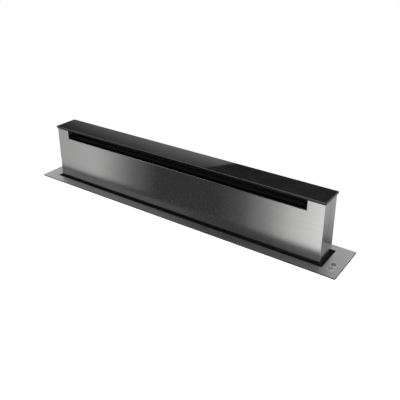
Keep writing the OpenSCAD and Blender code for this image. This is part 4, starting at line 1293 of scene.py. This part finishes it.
def dress_wheel(count):
    """The blower's wheel: forward-curved blades between a hub disc and a ring."""
    low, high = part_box("blower_wheel")
    case_low, case_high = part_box("blower_scroll")
    middle, radius, near = (low + high) / 2, (high.x - low.x) / 2, high.y
    wide = near - (case_low.y + case_high.y - near)
    shaft_end, shaft = near - low.y, 6 * MM
    place = (middle.x, near, middle.z)
    hub, bevel, disc, edge = 14 * MM, 1 * MM, 2 * MM, 0.5 * MM
    hub_face, disc_face, inner = wide - 30 * MM, wide - disc, radius - 9 * MM
    flare = [(hub, wide - 10 * MM), (hub + 3 * MM, wide - 5 * MM), (hub + 12 * MM, disc_face - 0.6 * MM),
             (radius * 0.6, disc_face)]
    core = turned([(0, hub_face), (hub - bevel, hub_face), (hub, hub_face + bevel), *flare,
                   (radius - edge, disc_face), (radius, disc_face + edge), (radius, wide), (shaft, wide),
                   (shaft, shaft_end - edge), (shaft - edge, shaft_end), (0, shaft_end)], 96, place, "Y")
    ring = turned([(inner, 0), (radius - edge, 0), (radius, edge), (radius, disc), (inner, disc)],
                  96, place, "Y")
    rebuilt("blower_wheel", "hub", core, ring)

    chord, thick, tilt, bow, cuts = 12 * MM, 1 * MM, math.radians(28), 1.6 * MM, 6
    sections = []
    for k in range(cuts + 1):
        part = k / cuts
        x = radius - chord + part * chord * math.cos(tilt)
        y = part * chord * math.sin(tilt) - bow * 4 * part * (1 - part)
        sections.append([(x, y + side * thick / 2, z) for side, z in
                         ((-1, disc / 2), (1, disc / 2), (1, wide - disc / 2), (-1, wide - disc / 2))])
    seats = []
    for k in range(count):
        turn = math.tau * k / count
        seats.append((Vector(place), Vector((0, -1, 0)), Vector((math.cos(turn), 0, math.sin(turn)))))
    seated("blower_wheel.blades", lofted(sections), seats, "blower_wheel")


def dress_blower_motor():
    """The blower's motor: a ribbed can with a bore for the shaft and a domed end cap."""
    node = "blower_motor"
    low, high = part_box(node)
    middle, deep = (low + high) / 2, high.y - low.y
    radius, cap_radius, cap = (high.x - low.x) / 2, 30 * MM, 5 * MM
    long, can, bore = deep - cap, radius - 1.6 * MM, 6.2 * MM
    flange, bevel, margin = 3 * MM, 1 * MM, 6 * MM
    shoulder = [(can, long - 3 * MM), (can - 1 * MM, long - 1 * MM), (can - 3 * MM, long)]
    dome = [(cap_radius, deep - 2 * MM), (cap_radius - 2 * MM, deep - 0.6 * MM), (cap_radius * 0.7, deep)]
    profile = [(0, long), (bore, long), (bore, 0), (radius, 0), (radius, flange), (can, flange + bevel),
               *shoulder, (cap_radius, long), *dome, (0, deep)]
    place = (middle.x, high.y, middle.z)
    rebuilt(node, "can", turned(profile, 96, place, "Y"))
    ribs(node, place, can, rise=1.5 * MM, first=margin, last=long - margin, count=36, axis="Y")


# Controls

def dress_controls(scene):
    settings = scene.vent_control
    dressed("control_box", settings.edge)
    dressed("control_lid", settings.edge)
    dressed("control_board", SHEET_EDGE)
    dressed("lead_clips", PLAIN_EDGE)
    for node in ("button_lead", "lift_lead", "blower_lead"):
        rebuilt(node, "smooth", clean_copy(node), sharp=SHARP_LEAD)


# Stage

def show_card(name, mesh, build, camera):
    """A card of the stage. Without camera, only mirrors see it."""
    made = new_object(name, mesh)
    material = empty_material(name)
    build(material.node_tree)
    mesh.materials.append(material)
    if not camera:
        made.visible_camera = False
        made.visible_diffuse = False
        made.visible_shadow = False
        made.visible_transmission = False


def seen_directly(tree):
    """1 for rays from the camera, from a mirror or through glass."""
    path = tree.nodes.new("ShaderNodeLightPath").outputs
    direct = calc(tree, "MAXIMUM", path["Is Camera Ray"], path["Is Glossy Ray"])
    return calc(tree, "MAXIMUM", direct, path["Is Transmission Ray"])


def pale_floor(tree):
    """A pale board. Its top keeps shadows and shows white where none falls, its sides are grey."""
    cloth = flow(tree, "ShaderNodeBsdfDiffuse", {"Color": solid((0.8, 0.8, 0.8))})
    glow = flow(tree, "ShaderNodeEmission", {"Color": WHITE, "Strength": 0.62})
    both = flow(tree, "ShaderNodeAddShader", {0: cloth, 1: glow})
    on_top = calc(tree, "GREATER_THAN", normal_of(tree)[2], 0.5)
    lit = calc(tree, "MULTIPLY", seen_directly(tree), on_top)
    mix = flow(tree, "ShaderNodeMixShader", {0: lit, 1: cloth, 2: both})
    wire(tree, "ShaderNodeOutputMaterial", {"Surface": mix})


def build_worktop():
    """A board of worktop in front of the vent and beside it, cut out round the housing."""
    front, left, right, behind, thick = -0.70, -0.62, 0.70, trim_high.y - 2 * MM, 30 * MM
    side, near = 0.446, -0.0505
    outline = [(left, front), (right, front), (right, behind), (side, behind), (side, near),
               (-side, near), (-side, behind), (left, behind)]
    board = lofted([[(x, y, z) for x, y in outline] for z in (0, -thick)])
    show_card("worktop", mesh_of("worktop", board), pale_floor, camera=True)


def glowing(tree):
    level = wire(tree, "ShaderNodeAttribute", attribute_name="level").outputs["Fac"]
    glow = flow(tree, "ShaderNodeEmission", {"Color": WHITE, "Strength": level})
    wire(tree, "ShaderNodeOutputMaterial", {"Surface": glow})


def reflector(name, rows, levels, stops=None):
    """A card that only mirrors see. Each row runs from one point to another, with a level at each stop."""
    wide = len(levels[0])
    stops = stops or [k / (wide - 1) for k in range(wide)]
    points = [Vector(start).lerp(Vector(end), stop) for start, end in rows for stop in stops]
    faces = [(r * wide + k, r * wide + k + 1, (r + 1) * wide + k + 1, (r + 1) * wide + k)
             for r in range(len(rows) - 1) for k in range(wide - 1)]
    mesh = bpy.data.meshes.new(name)
    mesh.from_pydata(points, [], faces)
    values = mesh.attributes.new("level", "FLOAT", "POINT")
    for item, level in zip(values.data, [level for row in levels for level in row]):
        item.value = level
    show_card(name, mesh, glowing, camera=False)


def fanned(camera, low, high, y, z):
    """A row's two ends, widened so that each column of it is mirrored upright in the column's front."""
    reach = (2 * column_low.y - camera.y - y) / (column_low.y - camera.y)
    return [(camera.x + (x - camera.x) * reach, y, z) for x in (low, high)]


def build_reflectors(camera):
    """Dark and pale cards round the vent, which give the steel and the glass their long gradients."""
    ends = (-1.0, 1.0)
    places = (-1.0, -0.42, -0.27, -0.13, -0.05, 0.13, 0.2, 0.27, 0.34, 0.42, 1.0)
    stops = [(x + 1) / 2 for x in places]
    tone = [0.35, 0.5, 0.6, 0.17, 0.05, 0.05, 0.1, 0.32, 0.75, 1.1, 1.1]
    near = [0.04] * len(tone)
    floor, wall = 0.5 * MM, -0.6
    rows = [fanned(camera, *ends, y, floor) for y in (-0.065, -0.078, -0.086, wall)]
    reflector("front_floor", rows, [near, near, tone, tone], stops)
    dark = [0.05, 0.05, 0.05, 0.05, 0.04, 0.03, 0.02, 0.01, 0.01, 0.01, 0.01]
    high = [1.0, 1.2, 1.2, 0.2, 0.03, 0.03, 0.03, 0.2, 0.9, 1.4, 1.4]
    rows = [fanned(camera, *ends, wall - 1 * MM, z) for z in (floor, 0.04, 0.1, 0.6, 0.85, 2.2)]
    reflector("front_wall", rows, [tone, tone, dark, dark, high, high], stops)

    back, far_left, far_right = 1.5, -3.2, 2.4
    heights = (0.7, 0.9, 0.94, 1.0, 1.1, 1.8)
    slant = [-0.958 + (1.002 - z) * 2.45 for z in heights]
    rows = [((far_left, back, z), (x, back, z)) for z, x in zip(heights, slant)]
    reflector("back_left", rows, [[0.65, 0.65, 0.35, 0.6, 1.0, 0.9], [0.65, 0.65, 0.3, 0.55, 1.0, 0.9],
                                  [0.65, 0.65, 0.17, 0.35, 0.6, 0.6], [0.65, 0.65, 0.07, 0.12, 0.28, 0.2],
                                  [0.65, 0.65, 0.07, 0.1, 0.2, 0.15], [0.65, 0.65, 0.3, 0.2, 0.2, 0.15]],
              [0.0, 0.38, 0.42, 0.6, 0.9, 1.0])
    lit, shaded = [0.05, 0.1, 1.8, 1.2, 0.5, 0.06, 0.06], [0.05, 0.1, 0.4, 0.3, 0.1, 0.04, 0.04]
    between = [0.05, 0.1, 1.3, 0.8, 0.3, 0.05, 0.05]
    rows = [((x, back, z), (far_right, back, z)) for z, x in zip(heights, slant)]
    reflector("back_right", rows, [lit, lit, lit, between, shaded, shaded],
              [0.0, 0.24, 0.275, 0.36, 0.43, 0.46, 1.0])

    near_end, far_end, below = 0.30, 1.6, -2 * MM
    rows = [((near_end, y, below), (far_end, y, below)) for y in (0.063, 0.1, 0.2, 1.4)]
    reflector("rear_floor", rows, [[0.1, 0.1], [0.25, 0.25], [0.45, 0.45], [0.6, 0.6]])
    near_end, far_end = trim_high.x + 0.3 * MM, trim_high.x + 60 * MM
    rows = [((near_end, y, floor), (far_end, y, floor)) for y in (-0.07, 0.06)]
    reflector("right_floor", rows, [[0.03, 0.1], [0.03, 0.1]])


def set_world(strength):
    """Light of that strength from all round. The camera, mirrors and glass show it as white."""
    world = bpy.data.worlds.new("studio")
    bpy.context.scene.world = world
    world.use_nodes = True
    tree = world.node_tree
    tree.nodes.clear()
    light, white = (flow(tree, "ShaderNodeBackground", {"Color": WHITE, "Strength": level})
                    for level in (strength, 1.0))
    mix = flow(tree, "ShaderNodeMixShader", {0: seen_directly(tree), 1: light, 2: white})
    wire(tree, "ShaderNodeOutputWorld", {"Surface": mix})


def lamp(name, place, power, width):
    """A square lamp that points at the middle of the trim and shows in no mirror."""
    light = bpy.data.lights.new(name, "AREA")
    light.energy = power
    light.size = width
    made = new_object(name, light)
    made.location = place
    made.rotation_euler = (-Vector(place)).to_track_quat("-Z", "Y").to_euler()
    made.visible_glossy = False


def build_stage(scene):
    settings = scene.vent_stage
    build_worktop()
    build_reflectors(Vector(settings.camera_place))
    set_world(settings.world_light)
    lamp("key", place=(-0.3, -0.6, 1.6), power=settings.key_power, width=1.2)
    lamp("fill", place=(1.5, -0.3, 0.8), power=settings.fill_power, width=0.9)
    lens = bpy.data.cameras.new("photo")
    lens.lens = settings.lens
    lens.sensor_width = 36
    lens.shift_y = settings.rise
    camera = new_object("photo", lens)
    camera.location = settings.camera_place
    camera.rotation_euler = (math.radians(90) - settings.camera_down, 0, settings.camera_turn)
    scene.camera = camera
    scene.view_settings.view_transform = "Standard"


# Operators and panel

class VENT_OT_finishes(bpy.types.Operator):
    """Builds the shared effects and every finish"""
    bl_idname = "vent.finishes"
    bl_label = "Make finishes"

    def execute(self, context):
        make_effects()
        make_finishes(context.scene)
        return {"FINISHED"}


class VENT_OT_trim(bpy.types.Operator):
    """Dresses the worktop trim, its gasket, the liner and the seal"""
    bl_idname = "vent.trim"
    bl_label = "Trim"

    def execute(self, context):
        dress_trim(context.scene)
        return {"FINISHED"}


class VENT_OT_column(bpy.types.Operator):
    """Dresses the rising column's shells and frames"""
    bl_idname = "vent.column"
    bl_label = "Column"

    def execute(self, context):
        dress_column(context.scene)
        return {"FINISHED"}


class VENT_OT_cap(bpy.types.Operator):
    """Dresses the glass lid and its tray"""
    bl_idname = "vent.cap"
    bl_label = "Glass lid"

    def execute(self, context):
        dress_cap(context.scene)
        return {"FINISHED"}


class VENT_OT_intake(bpy.types.Operator):
    """Dresses the slot's liner and makes the filters' mesh"""
    bl_idname = "vent.intake"
    bl_label = "Intake"

    def execute(self, context):
        dress_intake(context.scene)
        return {"FINISHED"}


class VENT_OT_buttons(bpy.types.Operator):
    """Makes the two push buttons and their rings"""
    bl_idname = "vent.buttons"
    bl_label = "Buttons"

    def execute(self, context):
        dress_buttons()
        return {"FINISHED"}


class VENT_OT_housing(bpy.types.Operator):
    """Dresses the housing under the worktop and its fasteners"""
    bl_idname = "vent.housing"
    bl_label = "Housing"

    def execute(self, context):
        dress_housing(context.scene)
        return {"FINISHED"}


class VENT_OT_lift(bpy.types.Operator):
    """Dresses the lift: belts, pulleys, rails, gearbox and motor"""
    bl_idname = "vent.lift"
    bl_label = "Lift"

    def execute(self, context):
        dress_lift(context.scene)
        return {"FINISHED"}


class VENT_OT_blower(bpy.types.Operator):
    """Dresses the blower, its motor, its collar and the damper"""
    bl_idname = "vent.blower"
    bl_label = "Blower"

    def execute(self, context):
        dress_blower(context.scene)
        return {"FINISHED"}


class VENT_OT_controls(bpy.types.Operator):
    """Dresses the control box, its board and the leads"""
    bl_idname = "vent.controls"
    bl_label = "Controls"

    def execute(self, context):
        dress_controls(context.scene)
        return {"FINISHED"}


class VENT_OT_stage(bpy.types.Operator):
    """Builds the worktop, the light and the camera"""
    bl_idname = "vent.stage"
    bl_label = "Stage"

    def execute(self, context):
        build_stage(context.scene)
        return {"FINISHED"}


class VENT_PT_panel(bpy.types.Panel):
    """Lists the vent's steps"""
    bl_idname = "VENT_PT_panel"
    bl_label = "Downdraft vent"
    bl_space_type = "VIEW_3D"
    bl_region_type = "UI"
    bl_category = "Vent"

    def draw(self, context):
        for operator in OPERATORS:
            self.layout.operator(operator.bl_idname)


GROUPS = {
    "vent_trim": TrimSettings, "vent_column": ColumnSettings, "vent_cap": CapSettings,
    "vent_intake": IntakeSettings, "vent_buttons": ButtonSettings, "vent_housing": HousingSettings,
    "vent_lift": LiftSettings, "vent_blower": BlowerSettings, "vent_control": ControlSettings,
    "vent_stage": StageSettings,
}
OPERATORS = (
    VENT_OT_finishes, VENT_OT_trim, VENT_OT_column, VENT_OT_cap, VENT_OT_intake, VENT_OT_buttons,
    VENT_OT_housing, VENT_OT_lift, VENT_OT_blower, VENT_OT_controls, VENT_OT_stage,
)


def register():
    for group in GROUPS.values():
        bpy.utils.register_class(group)
    for name, group in GROUPS.items():
        setattr(bpy.types.Scene, name, PointerProperty(type=group))
    for operator in (*OPERATORS, VENT_PT_panel):
        bpy.utils.register_class(operator)


def unregister():
    for operator in reversed((*OPERATORS, VENT_PT_panel)):
        bpy.utils.unregister_class(operator)
    for name in GROUPS:
        delattr(bpy.types.Scene, name)
    for group in reversed(GROUPS.values()):
        bpy.utils.unregister_class(group)


def main():
    register()
    bpy.ops.vent.finishes()
    bpy.ops.vent.trim()
    bpy.ops.vent.column()
    bpy.ops.vent.cap()
    bpy.ops.vent.intake()
    bpy.ops.vent.buttons()
    bpy.ops.vent.housing()
    bpy.ops.vent.lift()
    bpy.ops.vent.blower()
    bpy.ops.vent.controls()
    bpy.ops.vent.stage()


if __name__ == "__main__":
    main()
